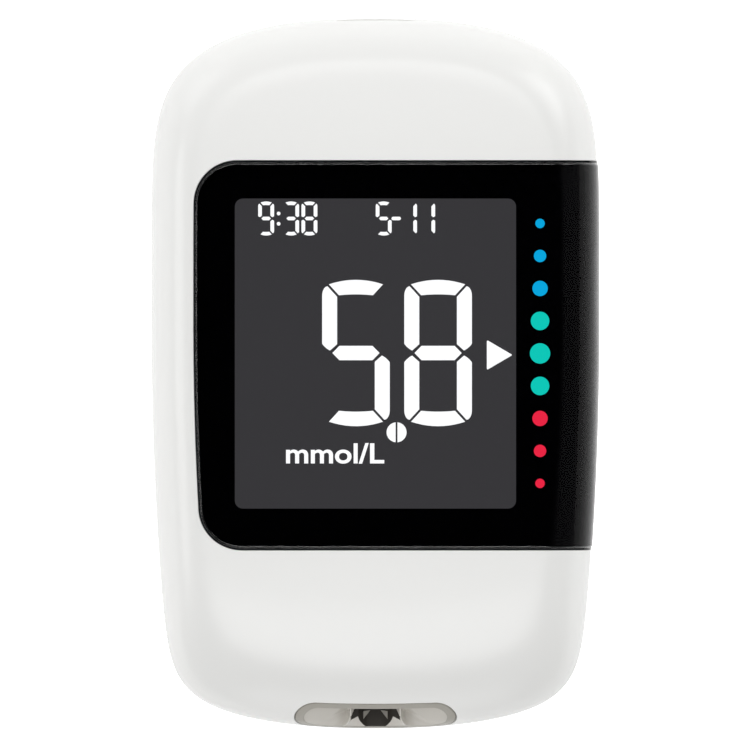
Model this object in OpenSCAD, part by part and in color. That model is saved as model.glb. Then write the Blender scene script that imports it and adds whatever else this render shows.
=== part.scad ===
// Pocket blood glucose meter, lying on its back with the screen up.
// X runs to the right, Y towards the top end, Z out of the screen; the strip port is at the -Y end.
// The origin is on the back face, under the middle of the meter. Millimetres.

/* [Body] */
// Overall width
body_w = 48.6; // [47.8:0.1:60]
// Overall length
body_l = 77.1; // [75:0.1:94]
// Overall thickness, up to the crown of the window
body_t = 15.3; // [15:0.1:19]
// Height of the parting line, where the body is widest
split_z = 6.0; // [5.9:0.1:6.6]
// Wall of both housings
wall = 1.5; // [1.2:0.05:1.8]
// Distance of the widest place above the middle of the length
waist_y = 5.1; // [2:0.1:8]
// Narrowing towards the strip end, as a share of the half width
foot_taper = 0.107; // [0:0.001:0.13]
// Width of the rounded front edge along the sides
side_round = 5; // [4:0.1:5.5]
// Length over which the front falls away at the top end
top_round = 6.5; // [5:0.1:8]
// Length over which the front falls away at the strip end
foot_round = 14; // [12:0.1:15]
// Width of the rounded back edge
back_round = 5.2; // [4:0.1:5.6]
// Length over which the back rises at the strip end
back_foot_round = 9; // [6:0.1:10]
// Fall of the crown from the waist to the ends
crown_fall_l = 2.2; // [1:0.1:2.4]
// Fall of the crown from the middle to the sides
crown_fall_w = 0.5; // [0.2:0.1:0.7]

/* [Window] */
// Distance from the top end to the window
window_from_top = 15.7; // [14:0.1:17]
// Distance from the strip end to the window
window_from_foot = 19.6; // [18:0.1:21]
// Distance from the left side to the window
window_inset = 4.8; // [3.5:0.1:5]
// Corner radius of the window
window_r = 4.5; // [3:0.1:6]
// Thickness of the window at the screen
window_t = 1.6; // [1.4:0.1:1.8]
// Thickness of the window where it wraps down the right side
window_side_t = 0.8; // [0.7:0.05:0.9]
// Height of the window above the housing round it
window_proud = 0.1; // [0:0.01:0.2]
// Groove round the window
window_gap = 0.2; // [0.15:0.01:0.5]
// Thickness of the gasket under the window
gasket_t = 0.25; // [0.2:0.01:0.4]
// Width of the gasket
gasket_w = 1.8; // [1.5:0.1:2.4]

/* [Display] */
// Width of the lit area
lit_w = 30.4; // [28:0.1:31]
// Length of the lit area
lit_l = 33.5; // [30:0.1:35]
// Distance of the lit area's middle above the window's middle
lit_up = 0.2; // [-0.5:0.1:0.5]
// Border of the LCD glass beyond the lit area at the sides
glass_side = 1.8; // [1.2:0.1:2]
// Border of the LCD glass at each end
glass_end = 2.4; // [2:0.1:2.8]
// Thickness of the LCD glass
glass_t = 1.3; // [1:0.1:1.5]
// Thickness of the backlight guide
guide_t = 3.2; // [2.6:0.1:3.3]

/* [Keys] */
// Length of each side key
key_l = 11; // [8:0.1:12]
// Height of each side key
key_h = 3.0; // [2.6:0.1:3.1]
// Distance between the middles of the two keys
key_pitch = 13.4; // [13.3:0.1:15]
// Height of the middle of the keys
key_z = 8.7; // [8.5:0.1:8.8]
// Travel of a key
key_travel = 0.35; // [0.2:0.01:0.4]

/* [Board] */
// Thickness of the main board
board_t = 1.0; // [0.8:0.1:1.2]
// Inset of the board from the sides of the body
board_in = 3.6; // [3.5:0.1:4]
// Diameter of the thread of the case screws
screw_d = 2.0; // [1.8:0.1:2.2]
// Diameter of the heads of the case screws
screw_head_d = 3.8; // [3.2:0.1:4]

/* [Strip port] */
// Width of the port
port_w = 17.6; // [14:0.1:18]
// Height of the port, along the sloping end
port_h = 4.8; // [4:0.1:4.8]
// Height of the middle of the port
port_z = 8.4; // [8.2:0.1:8.5]
// Lean of the port back from upright
port_lean = 31; // [20:1:38]
// Width of the strip slot
strip_w = 5.4; // [5:0.1:7]
// Travel of the strip ejector
eject_travel = 4; // [2:0.1:4]

/* [Battery] */
// Diameter of a coin cell
cell_d = 20; // [16:0.1:20.2]
// Thickness of a coin cell
cell_t = 3.2; // [2:0.1:3.2]
// Distance of the cells above the middle of the length
cell_y = 7; // [6:0.1:9]
// Thickness of the battery door
door_t = 1.3; // [1:0.05:1.4]

/* [Fit] */
// Gap between the two sides of a moving fit
play = 0.1; // [0.08:0.01:0.15]
// Gap between pieces that are simply placed together
seat = 0.05; // [0.02:0.01:0.08]

/* [Hidden] */

eps = 0.01;                     // overshoot of a cut past the face it opens
around = 60;                    // points round the body's outline
edge_steps = 7;                 // rings over the rounded edge
crown_steps = 4;                // rings over the crown, inside the rounded edge
edge_pow = 2.3;                 // how square the rounded front edge is, 2 being round
back_pow = 2.4;                 // the same for the back edge
top_pow = [2.41, 6.65];         // how square the top end's outline is, across and along
foot_pow = [2.05, 17.3];        // the same for the strip end
half_w = body_w / 2;
half_l = body_l / 2;
crown_z = body_t - window_proud;

window_y0 = window_from_foot - half_l;
window_y1 = half_l - window_from_top;
window_mid = (window_y0 + window_y1) / 2;
pocket_side = window_side_t + 0.2;              // the side of the pocket that holds the window
pocket_drop = window_t - window_proud + gasket_t;
ledge_t = 1.0;                                  // the ledge under the window
ledge_side = pocket_side + ledge_t;
ledge_drop = pocket_drop + ledge_t;

board_z = split_z + 0.3;                        // underside of the board
board_top = board_z + board_t;

lit_y = window_mid + lit_up;
glass_w = lit_w + 2 * glass_side;
glass_l = lit_l + 2 * glass_end;
glass_gap = 0.25;                               // air between the window and the glass
glass_play = 0.15;                              // gap between the glass and the ledge round it
glass_top = front_z(glass_w / 2, lit_y - glass_l / 2, window_t - window_proud) - glass_gap;
glass_z = glass_top - glass_t;
guide_w = lit_w + 1.6;
guide_l = lit_l + 1.6;
guide_z = glass_z - guide_t - seat;
holder_rim = 0.8;                               // wall of the LCD holder
holder_w = glass_w + 2 * (seat + holder_rim);
holder_l = glass_l + 2 * (seat + holder_rim);
holder_z = board_top + seat;
holder_top = front_z(holder_w / 2, lit_y - holder_l / 2, ledge_drop) - seat;
holder_rest = 3;                                // width of the rest under the guide
zebra_l = 1.6;                                  // width of the elastomer connector along Y
zebra_y = lit_y + glass_l / 2 - zebra_l / 2;
led_size = [3, 1.2, 1.6];
led_y = lit_y - holder_l / 2 - led_size.y / 2 - seat;

key_ys = [window_mid + key_pitch / 2, window_mid - key_pitch / 2];
key_inset = 0.12;                               // how far the key's face lies below the window's
flange_t = 0.6;                                 // retaining flange behind the key
flange_lip = 0.4;                               // how far the flange reaches past the key
flange_in = ledge_side + 0.2 + play;            // from the body's side to the flange
switch_in = flange_in + flange_t + key_travel + play;
switch_size = [2.2, 4.6, 1.9];
plunger_r = 0.8;
plunger_l = 1.4;
plunger_z = board_top + switch_size.z / 2 + 0.1;

screw_spots = [[half_w - 9.3, half_l - 8.5], [half_w - 10.8, 7 - half_l]];
boss_r = 2.3;
column_r = 2.7;
head_z = 2.4;                                   // depth of the counterbore for a screw's head
head_t = 1.3;
screw_len = 7.2;

strip_z = port_z + 0.2;                         // middle of the strip slot
slot_h = 0.9;
port_y = -half_l + 1.45;                        // middle of the port's face
port_depth = 1.6;                               // depth of the port, inwards from its middle
scoop_r = 6;                                    // finger scoops at both sides of the port
scoop_lift = 5.6;                               // height of a scoop's centre above the port's face
scoop_x = 0.31 * port_w;
tunnel_wall = 0.5;                              // wall round the strip behind the port
link_size = [10, 6, strip_z + slot_h / 2 + 0.9 - board_top];
link_y0 = 6.3 - half_l;                         // front of the strip connector
contact_count = 5;

thumb_l = 9;
thumb_y1 = -half_l + 28.5;                      // top end of the thumb piece at rest
thumb_z = [2.5, 5.1];
thumb_x = body_side(thumb_y1 - thumb_l) - 0.15; // outer face of the thumb piece
rail_x = thumb_x - 1.5;                         // floor of the thumb piece's recess
rail_t = 1.1;
stem_l = 3;
stem_h = 1.0;
stem_z = (thumb_z[0] + thumb_z[1]) / 2;
stem_y0 = thumb_y1 - thumb_l / 2 - stem_l / 2;
plate_x = rail_x - rail_t - play;               // outer face of the carriage's plate
plate_t = 0.7;
plate_y0 = thumb_y1 - thumb_l - 2.5;
plate_l = 10;
bar_l = 1.5;                                    // width of the carriage's bar along Y
bar_z = board_top + 0.4;
arm_t = 1.5;
nose_w = 3.2;
nose_y0 = link_y0 + link_size.y - 0.6;
spring_x = plate_x - plate_t - 2.3;
spring_z = 4.5;
spring_r = 1.05;                                // to the middle of the wire
spring_wire = 0.3;
spring_turns = 7;
spring_l = 7.2;
lug_z = [3.2, 5.7];

usb_size = [7.5, 5.6, 2.6];
usb_y0 = half_l - 1.7 - usb_size.y;             // back of the USB socket
usb_z = board_z + board_t / 2;                  // its middle, sunk into a notch in the board
usb_shell = 0.3;
usb_tab = [0.8, 2.4, 0.3];                      // tab at each side, soldered onto the board

chip_size = [7, 7, 0.9];
crystal_size = [3.2, 1.5, 0.8];
radio_size = [6.5, 7.1, 1.5];
bare_y = cell_y - cell_d / 2 - 3.5;             // underside of the board is free below this y

cell_x = cell_d / 2 + 0.15;
cell_z = wall + 0.35;
tray_gap = 0.2;                                 // between a cell and the tray round it
tray_wall = 0.65;
tray_w = 2 * (cell_x + cell_d / 2 + tray_gap + tray_wall);
tray_l = cell_d + 2 * (tray_gap + 0.9);
tray_z = wall + 0.75;
tray_post = 1.2;                                // side of the four posts that hold the tray's corners
roof_z = cell_z + cell_t + 0.4;                 // underside of the tray's roof
roof_t = 0.5;
leaf_t = 0.2;                                   // sheet of the battery contacts
leaf_w = 3;
door_w = tray_w - 1.2;
door_l = tray_l + 0.8;
door_r = 2.5;
door_in = 0.15;                                 // how far the door lies inside the back
door_gap = 0.2;
door_y0 = cell_y - door_l / 2;                  // the hooked edge
hook_w = 4;
hook_x = 8;
hook_t = 0.4;
hook_reach = 0.9;                               // how far a hook reaches past the door's edge
tab_w = 8;                                      // finger tab at the door's free edge
tab_l = 1.5;
blade_size = [6, 0.7, 1.5];                     // blade that stiffens the tab inside

shell_white = "#f2f2f0";
inner_white = "#dcdcd8";
black = "#101114";
dark_grey = "#34363a";
frost = "#c9c6c0";
board_green = "#1f6b45";
steel = "#b9bcc0";
gold = "#d8b65a";

// The body's outline at angle a, with its half width and its two half lengths shortened.
function outline(a, in_x, in_top, in_foot) =
    let (turn = a % 180, q = turn <= 90 ? turn : 180 - turn, is_top = a <= 180,
        pw = is_top ? top_pow : foot_pow, taper = is_top ? 0 : foot_taper,
        reach = is_top ? half_l - waist_y - in_top : half_l + waist_y - in_foot,
        v = pow(sin(q), 1 + (2 / pw.y - 1) * pow(q / 90, 2)))
    [(cos(a) < 0 ? -1 : 1) * (half_w - in_x) * (1 - taper * v * v) * pow(max(0, 1 - pow(v, pw.y)), 1 / pw.x),
        waist_y + (is_top ? reach : -reach) * v];

// Half width of the body at a given y.
function body_side(y) =
    let (is_top = y >= waist_y, pw = is_top ? top_pow : foot_pow,
        v = abs(y - waist_y) / (is_top ? half_l - waist_y : half_l + waist_y))
    half_w * (1 - (is_top ? 0 : foot_taper) * v * v) * pow(max(0, 1 - pow(v, pw.y)), 1 / pw.x);

// Height of the crowned front over x and y, lowered by drop.
function front_z(x, y, drop) =
    crown_z - drop - crown_fall_l * pow((y - waist_y) / half_l, 2) - crown_fall_w * pow(x / half_w, 2);

// One ring of the rounded front edge: t runs from 0 at the parting line to 90 at the crown.
function front_ring(t, inset, drop) =
    let (u = 1 - pow(cos(t), 2 / edge_pow), rise = pow(sin(t), 2 / edge_pow))
    [for (i = [0:around - 1]) let (a = 360 * i / around, p = outline(a, inset, inset, inset),
        q = outline(a, side_round, top_round, foot_round), x = p.x + (q.x - p.x) * u, y = p.y + (q.y - p.y) * u)
        [x, y, split_z + (front_z(x, y, drop) - split_z) * rise]];

// One ring of the crown, share being its size against the crown's own outline.
function crown_ring(share, drop) =
    [for (i = [0:around - 1]) let (q = outline(360 * i / around, side_round, top_round, foot_round),
        x = q.x * share, y = waist_y + (q.y - waist_y) * share) [x, y, front_z(x, y, drop)]];

// One ring of the rounded back edge: t runs from 0 at the parting line to 90 at the flat back.
function back_ring(t, inset, lift) =
    let (u = 1 - pow(cos(t), 2 / back_pow), fall = pow(sin(t), 2 / back_pow))
    [for (i = [0:around - 1]) let (a = 360 * i / around, p = outline(a, inset, inset, inset),
        q = outline(a, back_round, back_round, back_foot_round))
        [p.x + (q.x - p.x) * u, p.y + (q.y - p.y) * u, split_z - (split_z - lift) * fall]];

// The outline as a flat ring at height z.
function flat_ring(z, inset) =
    [for (i = [0:around - 1]) let (p = outline(360 * i / around, inset, inset, inset)) [p.x, p.y, z]];

// A closed solid through rings stacked upwards, ending in a flat top or, where tip is given, in a point.
module loft(rings, tip) {
    n = len(rings[0]);
    last = (len(rings) - 1) * n;
    walls = [for (j = [0:len(rings) - 2], i = [0:n - 1]) let (k = (i + 1) % n, a = j * n)
        each [[a + i, a + n + i, a + n + k], [a + i, a + n + k, a + k]]];
    top = is_undef(tip) ? [[for (i = [n - 1:-1:0]) last + i]]
        : [for (i = [0:n - 1]) [last + i, last + n, last + (i + 1) % n]];
    points = [for (ring = rings) each ring];
    polyhedron(is_undef(tip) ? points : concat(points, [tip]),
        concat([[for (i = [0:n - 1]) i]], walls, top));
}

// The body above the parting line, made smaller by inset at the sides and drop at the front.
module front_form(inset = 0, drop = 0, skirt = 0) {
    loft(concat(skirt > 0 ? [flat_ring(split_z - skirt, inset)] : [],
        [for (j = [0:edge_steps]) front_ring(90 * j / edge_steps, inset, drop)],
        [for (j = [1:crown_steps - 1]) crown_ring(1 - j / crown_steps, drop)]),
        [0, waist_y, front_z(0, waist_y, drop)]);
}

// The body below the parting line, made smaller by inset at the sides and lift at the back.
module back_form(inset = 0, lift = 0, skirt = 0) {
    loft(concat([for (j = [edge_steps:-1:0]) back_ring(90 * j / edge_steps, inset, lift)],
        skirt > 0 ? [flat_ring(split_z + skirt, inset)] : []));
}

// The window's plan, grown by g. It runs out past the right side unless right_x is given.
module window_plan(g = 0, right_x = body_w) {
    r = window_r + g;
    y1 = window_y1 + g;
    y0 = window_y0 - g;
    top_c = [window_inset - g - body_side(y1 - r) + r, y1 - r];
    low_c = [window_inset - g - body_side(y0 + r) + r, y0 + r];
    polygon(concat([[right_x, y0], [right_x, y1]],
        [for (a = [90:10:180]) top_c + r * [cos(a), sin(a)]],
        [for (k = [1:7]) let (y = top_c.y + (low_c.y - top_c.y) * k / 8) [window_inset - g - body_side(y), y]],
        [for (a = [180:10:270]) low_c + r * [cos(a), sin(a)]]));
}

module slot_plan(l, w) {
    square([l - w, w], center = true);
    for (s = [-1, 1]) translate([s * (l - w) / 2, 0]) circle(d = w, $fn = 32);
}

module rounded_plan(w, l, r) {
    square([w - 2 * r, l], center = true);
    square([w, l - 2 * r], center = true);
    for (x = [-1, 1], y = [-1, 1]) translate([x * (w / 2 - r), y * (l / 2 - r)]) circle(r, $fn = 32);
}

// A slot-shaped bar along X with its long side along Y, from x0 to x1 at the key's height.
module key_bar(y, grow, x0, x1) {
    translate([x0, y, key_z]) rotate([90, 0, 90]) linear_extrude(x1 - x0)
        slot_plan(key_l + 2 * grow, key_h + 2 * grow);
}

// Places its children at the four case screws.
module at_screws() {
    for (spot = screw_spots, s = [-1, 1]) translate([s * spot.x, spot.y, 0]) children();
}

// Plan of the battery door with its finger tab, grown by g.
module door_plan(g) {
    rounded_plan(door_w + 2 * g, door_l + 2 * g, door_r + g);
    translate([0, door_l / 2]) rounded_plan(tab_w + 2 * g, 2 * (tab_l + g), 0.8);
}

// The round-ended outline of the port, grown by g, as a prism along the port's own axis.
module port_prism(g, z0, z1) {
    at_port() translate([0, 0, z0]) linear_extrude(z1 - z0) slot_plan(port_w + 2 * g, port_h + 2 * g);
}

module at_port() {
    translate([0, port_y, port_z]) rotate([90 - port_lean, 0, 0]) children();
}

// The opening in front of the USB socket, through the top end of both housings.
module usb_mouth() {
    translate([0, half_l + 1, usb_z]) rotate([90, 0, 0])
        linear_extrude(4.5) rounded_plan(usb_size.x + 0.8, usb_size.z + 0.8, 0.8);
}

// The mouth for the strip: the slot, and under it a trough that narrows downwards.
module strip_mouth(y0, y1) {
    w = strip_w / 2;
    translate([0, y1, strip_z]) rotate([90, 0, 0]) linear_extrude(y1 - y0)
        polygon([[-w, slot_h / 2], [-w, -slot_h / 2], [-w * 0.55, -slot_h / 2 - 1.1],
            [w * 0.55, -slot_h / 2 - 1.1], [w, -slot_h / 2], [w, slot_h / 2]]);
}

module front_housing() {
    color(shell_white) difference() {
        union() {
            difference() {
                front_form();
                front_form(ledge_side, ledge_drop, 1);
                difference() {
                    front_form(wall, wall, 1);
                    translate([0, 0, split_z - 2]) linear_extrude(body_t) window_plan(ledge_t);
                }
            }
            intersection() {
                front_form(wall / 2, wall / 2);
                at_screws() translate([0, 0, board_top]) cylinder(r = boss_r, h = body_t, $fn = 32);
            }
        }
        difference() {
            translate([0, 0, split_z - 1]) linear_extrude(body_t) window_plan(window_gap);
            front_form(pocket_side, pocket_drop, 2);
        }
        translate([0, lit_y, split_z]) linear_extrude(body_t)
            rounded_plan(glass_w + 2 * glass_play, glass_l + 2 * glass_play, 0.4);
        for (y = key_ys) {
            key_bar(y, 2 * play, half_w - side_round, half_w + 1);
            key_bar(y, flange_lip + 2 * play, half_w - side_round, half_w - flange_in + play);
        }
        port_prism(seat, -port_depth - 3, port_h);
        usb_mouth();
        at_screws() translate([0, 0, split_z])
            cylinder(d = screw_d, h = head_z + screw_len + 0.5 - split_z, $fn = 24);
    }
}

module rear_housing() {
    color(shell_white) difference() {
        union() {
            difference() {
                back_form();
                back_form(wall, wall, 1);
            }
            intersection() {
                back_form(wall / 2, wall / 2, 1);
                union() {
                    at_screws() cylinder(r = column_r, h = board_z, $fn = 32);
                    translate([-rail_x, thumb_y1 - thumb_l - eject_travel - 2, 0])
                        cube([rail_t, thumb_l + eject_travel + 4, split_z]);
                    translate([-spring_x - 1.5, plate_y0 - spring_l - 1, 0]) cube([3, 1, spring_z + 0.8]);
                    for (x = [-1, 1], y = [-1, 1])
                        translate([x * (tray_w - tray_post) / 2, cell_y + y * (tray_l / 2 + seat + tray_post / 2), 0])
                            translate([-tray_post / 2, -tray_post / 2, 0]) cube([tray_post, tray_post, roof_z]);
                }
            }
        }
        translate([0, cell_y, -1]) linear_extrude(wall + 2) door_plan(door_gap);
        usb_mouth();
        at_screws() {
            translate([0, 0, -1]) cylinder(d = screw_head_d + 0.4, h = head_z + 1, $fn = 32);
            cylinder(d = screw_d + 0.3, h = split_z + 1, $fn = 24);
        }
        translate([-half_w - 1, thumb_y1 - thumb_l - eject_travel - 2 * play, thumb_z[0] - play])
            cube([half_w + 1 - rail_x, thumb_l + eject_travel + 4 * play, thumb_z[1] - thumb_z[0] + 2 * play]);
        translate([-rail_x - 1, stem_y0 - eject_travel - 2 * play, stem_z - stem_h / 2 - play])
            cube([rail_t + 2, stem_l + eject_travel + 4 * play, stem_h + 2 * play]);
    }
}

module display_window() {
    color(black) difference() {
        intersection() {
            translate([0, 0, split_z + 0.2]) linear_extrude(body_t) window_plan();
            front_form(0, -window_proud);
        }
        front_form(window_side_t, window_t - window_proud, 1);
        for (y = key_ys) key_bar(y, play, half_w - side_round, half_w + 1);
    }
}

module window_gasket() {
    right = half_w - side_round;
    color(dark_grey) difference() {
        intersection() {
            translate([0, 0, split_z]) linear_extrude(body_t) window_plan(window_gap - seat, right);
            front_form(pocket_side, pocket_drop - gasket_t + seat / 2);
        }
        front_form(pocket_side, pocket_drop - seat / 2, 1);
        translate([0, 0, split_z]) linear_extrude(body_t) window_plan(-gasket_w, right - gasket_w);
    }
}

module plate(w, l, y, z, t) {
    translate([-w / 2, y - l / 2, z]) cube([w, l, t]);
}

module lcd_glass() {
    color(dark_grey) {
        plate(glass_w, glass_l, lit_y, glass_z + glass_t / 2, glass_t / 2);
        plate(glass_w, glass_l - zebra_l, lit_y - zebra_l / 2, glass_z, glass_t / 2);
    }
}

module lcd_holder() {
    color(inner_white) difference() {
        plate(holder_w, holder_l, lit_y, holder_z, holder_top - holder_z);
        plate(glass_w + 2 * seat, glass_l + 2 * seat, lit_y, glass_z - seat / 2, body_t);
        plate(guide_w + 2 * seat, guide_l + 2 * seat, lit_y, guide_z - seat, body_t);
        plate(guide_w - 2 * holder_rest, guide_l - 2 * holder_rest, lit_y, 0, body_t);
        plate(glass_w, zebra_l + 2 * seat, zebra_y, 0, body_t);
    }
}

module backlight_guide() {
    color("#e8eef2") plate(guide_w, guide_l, lit_y, guide_z, guide_t);
}

module backlight_leds() {
    color("#fff6d8") for (i = [-1:1])
        translate([i * lit_w / 3 - led_size.x / 2, led_y - led_size.y / 2, board_top]) cube(led_size);
}

module lcd_connector() {
    color("#e07a8b") plate(glass_w - 2 * seat, zebra_l, zebra_y, board_top, glass_z + glass_t / 2 - board_top);
}

module main_board() {
    color(board_green) difference() {
        translate([0, 0, board_z]) linear_extrude(board_t)
            polygon([for (i = [0:around - 1]) outline(360 * i / around, board_in, board_in, board_in)]);
        translate([-port_w / 2 - seat, -half_l, board_z - 1])
            cube([port_w + 2 * seat, link_y0 + half_l, board_t + 2]);
        at_screws() translate([0, 0, board_z - 1]) cylinder(d = screw_d + 0.4, h = board_t + 2, $fn = 24);
        translate([-usb_size.x / 2 - 2 * seat, usb_y0 - 2 * seat, board_z - 1])
            cube([usb_size.x + 4 * seat, half_l - usb_y0, board_t + 2]);
        translate([-half_w, plate_y0 - eject_travel - 4 * play, board_z - 1])
            cube([half_w - (plate_x - arm_t - 4 * play), bar_l + eject_travel + 8 * play, board_t + 2]);
    }
}

module microcontroller() {
    color("#1b1c1f") translate([-chip_size.x / 2, bare_y - chip_size.y, board_z - chip_size.z]) cube(chip_size);
}

module radio_module() {
    corner = [-usb_size.x / 2 - usb_tab.x - 0.2 - radio_size.x, usb_y0 - radio_size.y + 3];
    color("#c4c6c8") translate([corner.x, corner.y, board_top]) cube(radio_size);
}

module crystal() {
    color(steel) translate([chip_size.x / 2 + 2, bare_y - crystal_size.y, board_z - crystal_size.z])
        cube(crystal_size);
}

// Chip resistors and capacitors: a row of n, step apart, starting at the given corner.
module chip_row(corner, size, n, step) {
    for (i = [0:n - 1]) translate(corner + [i * step, 0, 0]) cube(size);
}

module passive_components() {
    along = [1.2, 0.6, 0.5];
    across = [0.6, 1.2, 0.5];
    free_y = lit_y + holder_l / 2 + 0.9;        // board's top face between the display and the USB socket
    color("#b59a6a") {
        chip_row([-4.5, free_y, board_top], along, 5, 2.1);
        chip_row([usb_size.x / 2 + 1.6, usb_y0 - 1, board_top], across, 4, 1.5);
        chip_row([-chip_size.x / 2 - 9, bare_y - chip_size.y, board_z - along.z], across, 5, 1.8);
    }
}

module side_key(y) {
    x = body_side(y);
    color(dark_grey) intersection() {
        union() {
            key_bar(y, 0, x - flange_in - flange_t / 2, half_w + 1);
            key_bar(y, flange_lip, x - flange_in - flange_t, x - flange_in);
        }
        front_form(key_inset, -window_proud, 1);
    }
}

module up_key() {
    side_key(key_ys[0]);
}

module down_key() {
    side_key(key_ys[1]);
}

module plunger(y) {
    color("#e9e9e4") translate([body_side(y) - flange_in - flange_t, y, plunger_z])
        rotate([0, -90, 0]) cylinder(r = plunger_r, h = plunger_l, $fn = 24);
}

module up_plunger() {
    plunger(key_ys[0]);
}

module down_plunger() {
    plunger(key_ys[1]);
}

module side_switch(y) {
    x = body_side(y) - switch_in;
    color(steel) difference() {
        translate([x - switch_size.x, y - switch_size.y / 2, board_top]) cube(switch_size);
        translate([x + 1, y, plunger_z]) rotate([0, -90, 0])
            cylinder(r = plunger_r + play / 2, h = 1 + plunger_l, $fn = 24);
    }
}

module up_switch() {
    side_switch(key_ys[0]);
}

module down_switch() {
    side_switch(key_ys[1]);
}

module strip_port() {
    tunnel_w = strip_w + 2 * tunnel_wall;
    color(frost) difference() {
        union() {
            intersection() {
                port_prism(0, -port_depth, port_h);
                front_form(0.1, 0.1);
            }
            intersection() {
                translate([-tunnel_w / 2, port_y, split_z])
                    cube([tunnel_w, link_y0 - seat - port_y, strip_z + slot_h / 2 + tunnel_wall - split_z]);
                front_form(wall + seat, wall + seat);
            }
        }
        for (s = [-1, 1]) at_port() translate([s * scoop_x, 0, scoop_lift]) sphere(scoop_r, $fn = 48);
        strip_mouth(-half_l - 1, link_y0);
    }
}

module strip_connector() {
    color("#e7e3d8") difference() {
        translate([-link_size.x / 2, link_y0, board_top]) cube(link_size);
        translate([-strip_w / 2, link_y0 - 1, strip_z - slot_h / 2]) cube([strip_w, link_size.y + 2, slot_h]);
        for (i = [0:contact_count - 1])
            translate([contact_x(i) - 0.25, link_y0 + 1.5, strip_z]) cube([0.5, link_size.y - 2.5, 2]);
    }
}

function contact_x(i) = (i - (contact_count - 1) / 2) * strip_w / (contact_count + 0.4);

module strip_contacts() {
    color(gold) for (i = [0:contact_count - 1])
        translate([contact_x(i) - 0.2, link_y0 + 1.7, strip_z + slot_h / 2 - 0.1])
            cube([0.4, link_size.y - 2.9, 0.3]);
}

module ejector_thumb() {
    color(dark_grey) difference() {
        union() {
            translate([-thumb_x, thumb_y1 - thumb_l, thumb_z[0]])
                cube([thumb_x - rail_x - play, thumb_l, thumb_z[1] - thumb_z[0]]);
            translate([-rail_x - play - eps, stem_y0, stem_z - stem_h / 2])
                cube([rail_x + play - plate_x + eps, stem_l, stem_h]);
        }
        for (i = [1:5]) translate([-thumb_x - 0.01, thumb_y1 - thumb_l * i / 6, thumb_z[0] - 1])
            cylinder(r = 0.35, h = 5, $fn = 16);
    }
}

module ejector_carriage() {
    color("#b8bcc2") {
        translate([-plate_x, plate_y0, lug_z[0]]) cube([plate_t, plate_l, lug_z[1] - lug_z[0]]);
        translate([-plate_x, plate_y0, lug_z[0]]) cube([plate_x - spring_x + 1.5, 1, lug_z[1] - lug_z[0]]);
        translate([-plate_x, plate_y0, lug_z[0]]) cube([arm_t, bar_l, bar_z - lug_z[0] + 1]);
        translate([-plate_x, plate_y0, bar_z]) cube([plate_x + nose_w / 2, bar_l, 1.1]);
        translate([-nose_w / 2, nose_y0, strip_z - slot_h / 2 + play])
            cube([nose_w, plate_y0 - nose_y0 + bar_l, slot_h - 3.5 * play]);
    }
}

// A round wire wound in a helix along Y.
module ejector_spring() {
    sides = 6;
    steps = 12 * spring_turns;
    rings = [for (i = [0:steps]) let (a = 360 * spring_turns * i / steps)
        [for (j = [0:sides - 1]) let (b = 360 * j / sides, r = spring_r + spring_wire / 2 * cos(b))
            [r * cos(a), r * sin(a),
                spring_wire + (spring_l - 2 * spring_wire) * i / steps + spring_wire / 2 * sin(b)]]];
    color(steel) translate([-spring_x, plate_y0, spring_z]) rotate([90, 0, 0]) loft(rings);
}

module usb_socket() {
    color(steel) {
        difference() {
            translate([-usb_size.x / 2, usb_y0, usb_z - usb_size.z / 2]) cube(usb_size);
            translate([-usb_size.x / 2 + usb_shell, usb_y0 + 1, usb_z - usb_size.z / 2 + usb_shell])
                cube([usb_size.x - 2 * usb_shell, usb_size.y, usb_size.z - 2 * usb_shell]);
        }
        for (x = [-usb_size.x / 2 - usb_tab.x, usb_size.x / 2 - eps])
            translate([x, usb_y0 + 0.4, board_top]) cube(usb_tab + [eps, 0, 0]);
    }
}

module usb_tongue() {
    color("#1b1c1f") translate([-1.9, usb_y0 + 1, usb_z])
        cube([3.8, usb_size.y - 1.9, 0.6]);
}

module battery_tray() {
    color(inner_white) difference() {
        translate([-tray_w / 2, cell_y - tray_l / 2, tray_z]) cube([tray_w, tray_l, roof_z + roof_t - tray_z]);
        for (s = [-1, 1]) translate([s * cell_x, cell_y, 0]) {
            cylinder(d = cell_d + 2 * tray_gap, h = roof_z, $fn = 64);
            translate([-leaf_w / 2 - 0.2, cell_d / 2, 0]) cube([leaf_w + 0.4, 0.7, roof_z + 2]);
            translate([-0.8, -0.8, 0]) cube([1.6, 1.6, roof_z + 2]);
        }
        plate(3, cell_d / 2, cell_y, 0, roof_z);
    }
}

module negative_contacts() {
    color(gold) for (s = [-1, 1]) translate([s * cell_x, cell_y, 0]) {
        translate([-leaf_w / 2, -leaf_w / 2, cell_z + cell_t + seat]) cube([leaf_w, leaf_w, leaf_t]);
        translate([-0.6, -0.6, cell_z + cell_t + seat]) cube([1.2, 1.2, board_z - cell_z - cell_t - seat]);
    }
}

module positive_contacts() {
    color(gold) for (s = [-1, 1]) translate([s * cell_x - leaf_w / 2, cell_y + cell_d / 2 + 0.1, tray_z + 0.2])
        cube([leaf_w, 2 * leaf_t, board_z - tray_z - 0.2]);
}

module coin_cell(s) {
    color(steel) translate([s * cell_x, cell_y, cell_z]) {
        cylinder(d = cell_d, h = cell_t - 0.4, $fn = 96);
        translate([0, 0, cell_t - 0.4 - eps]) cylinder(d = cell_d - 2, h = 0.4 + eps, $fn = 96);
    }
}

module left_cell() {
    coin_cell(-1);
}

module right_cell() {
    coin_cell(1);
}

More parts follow.
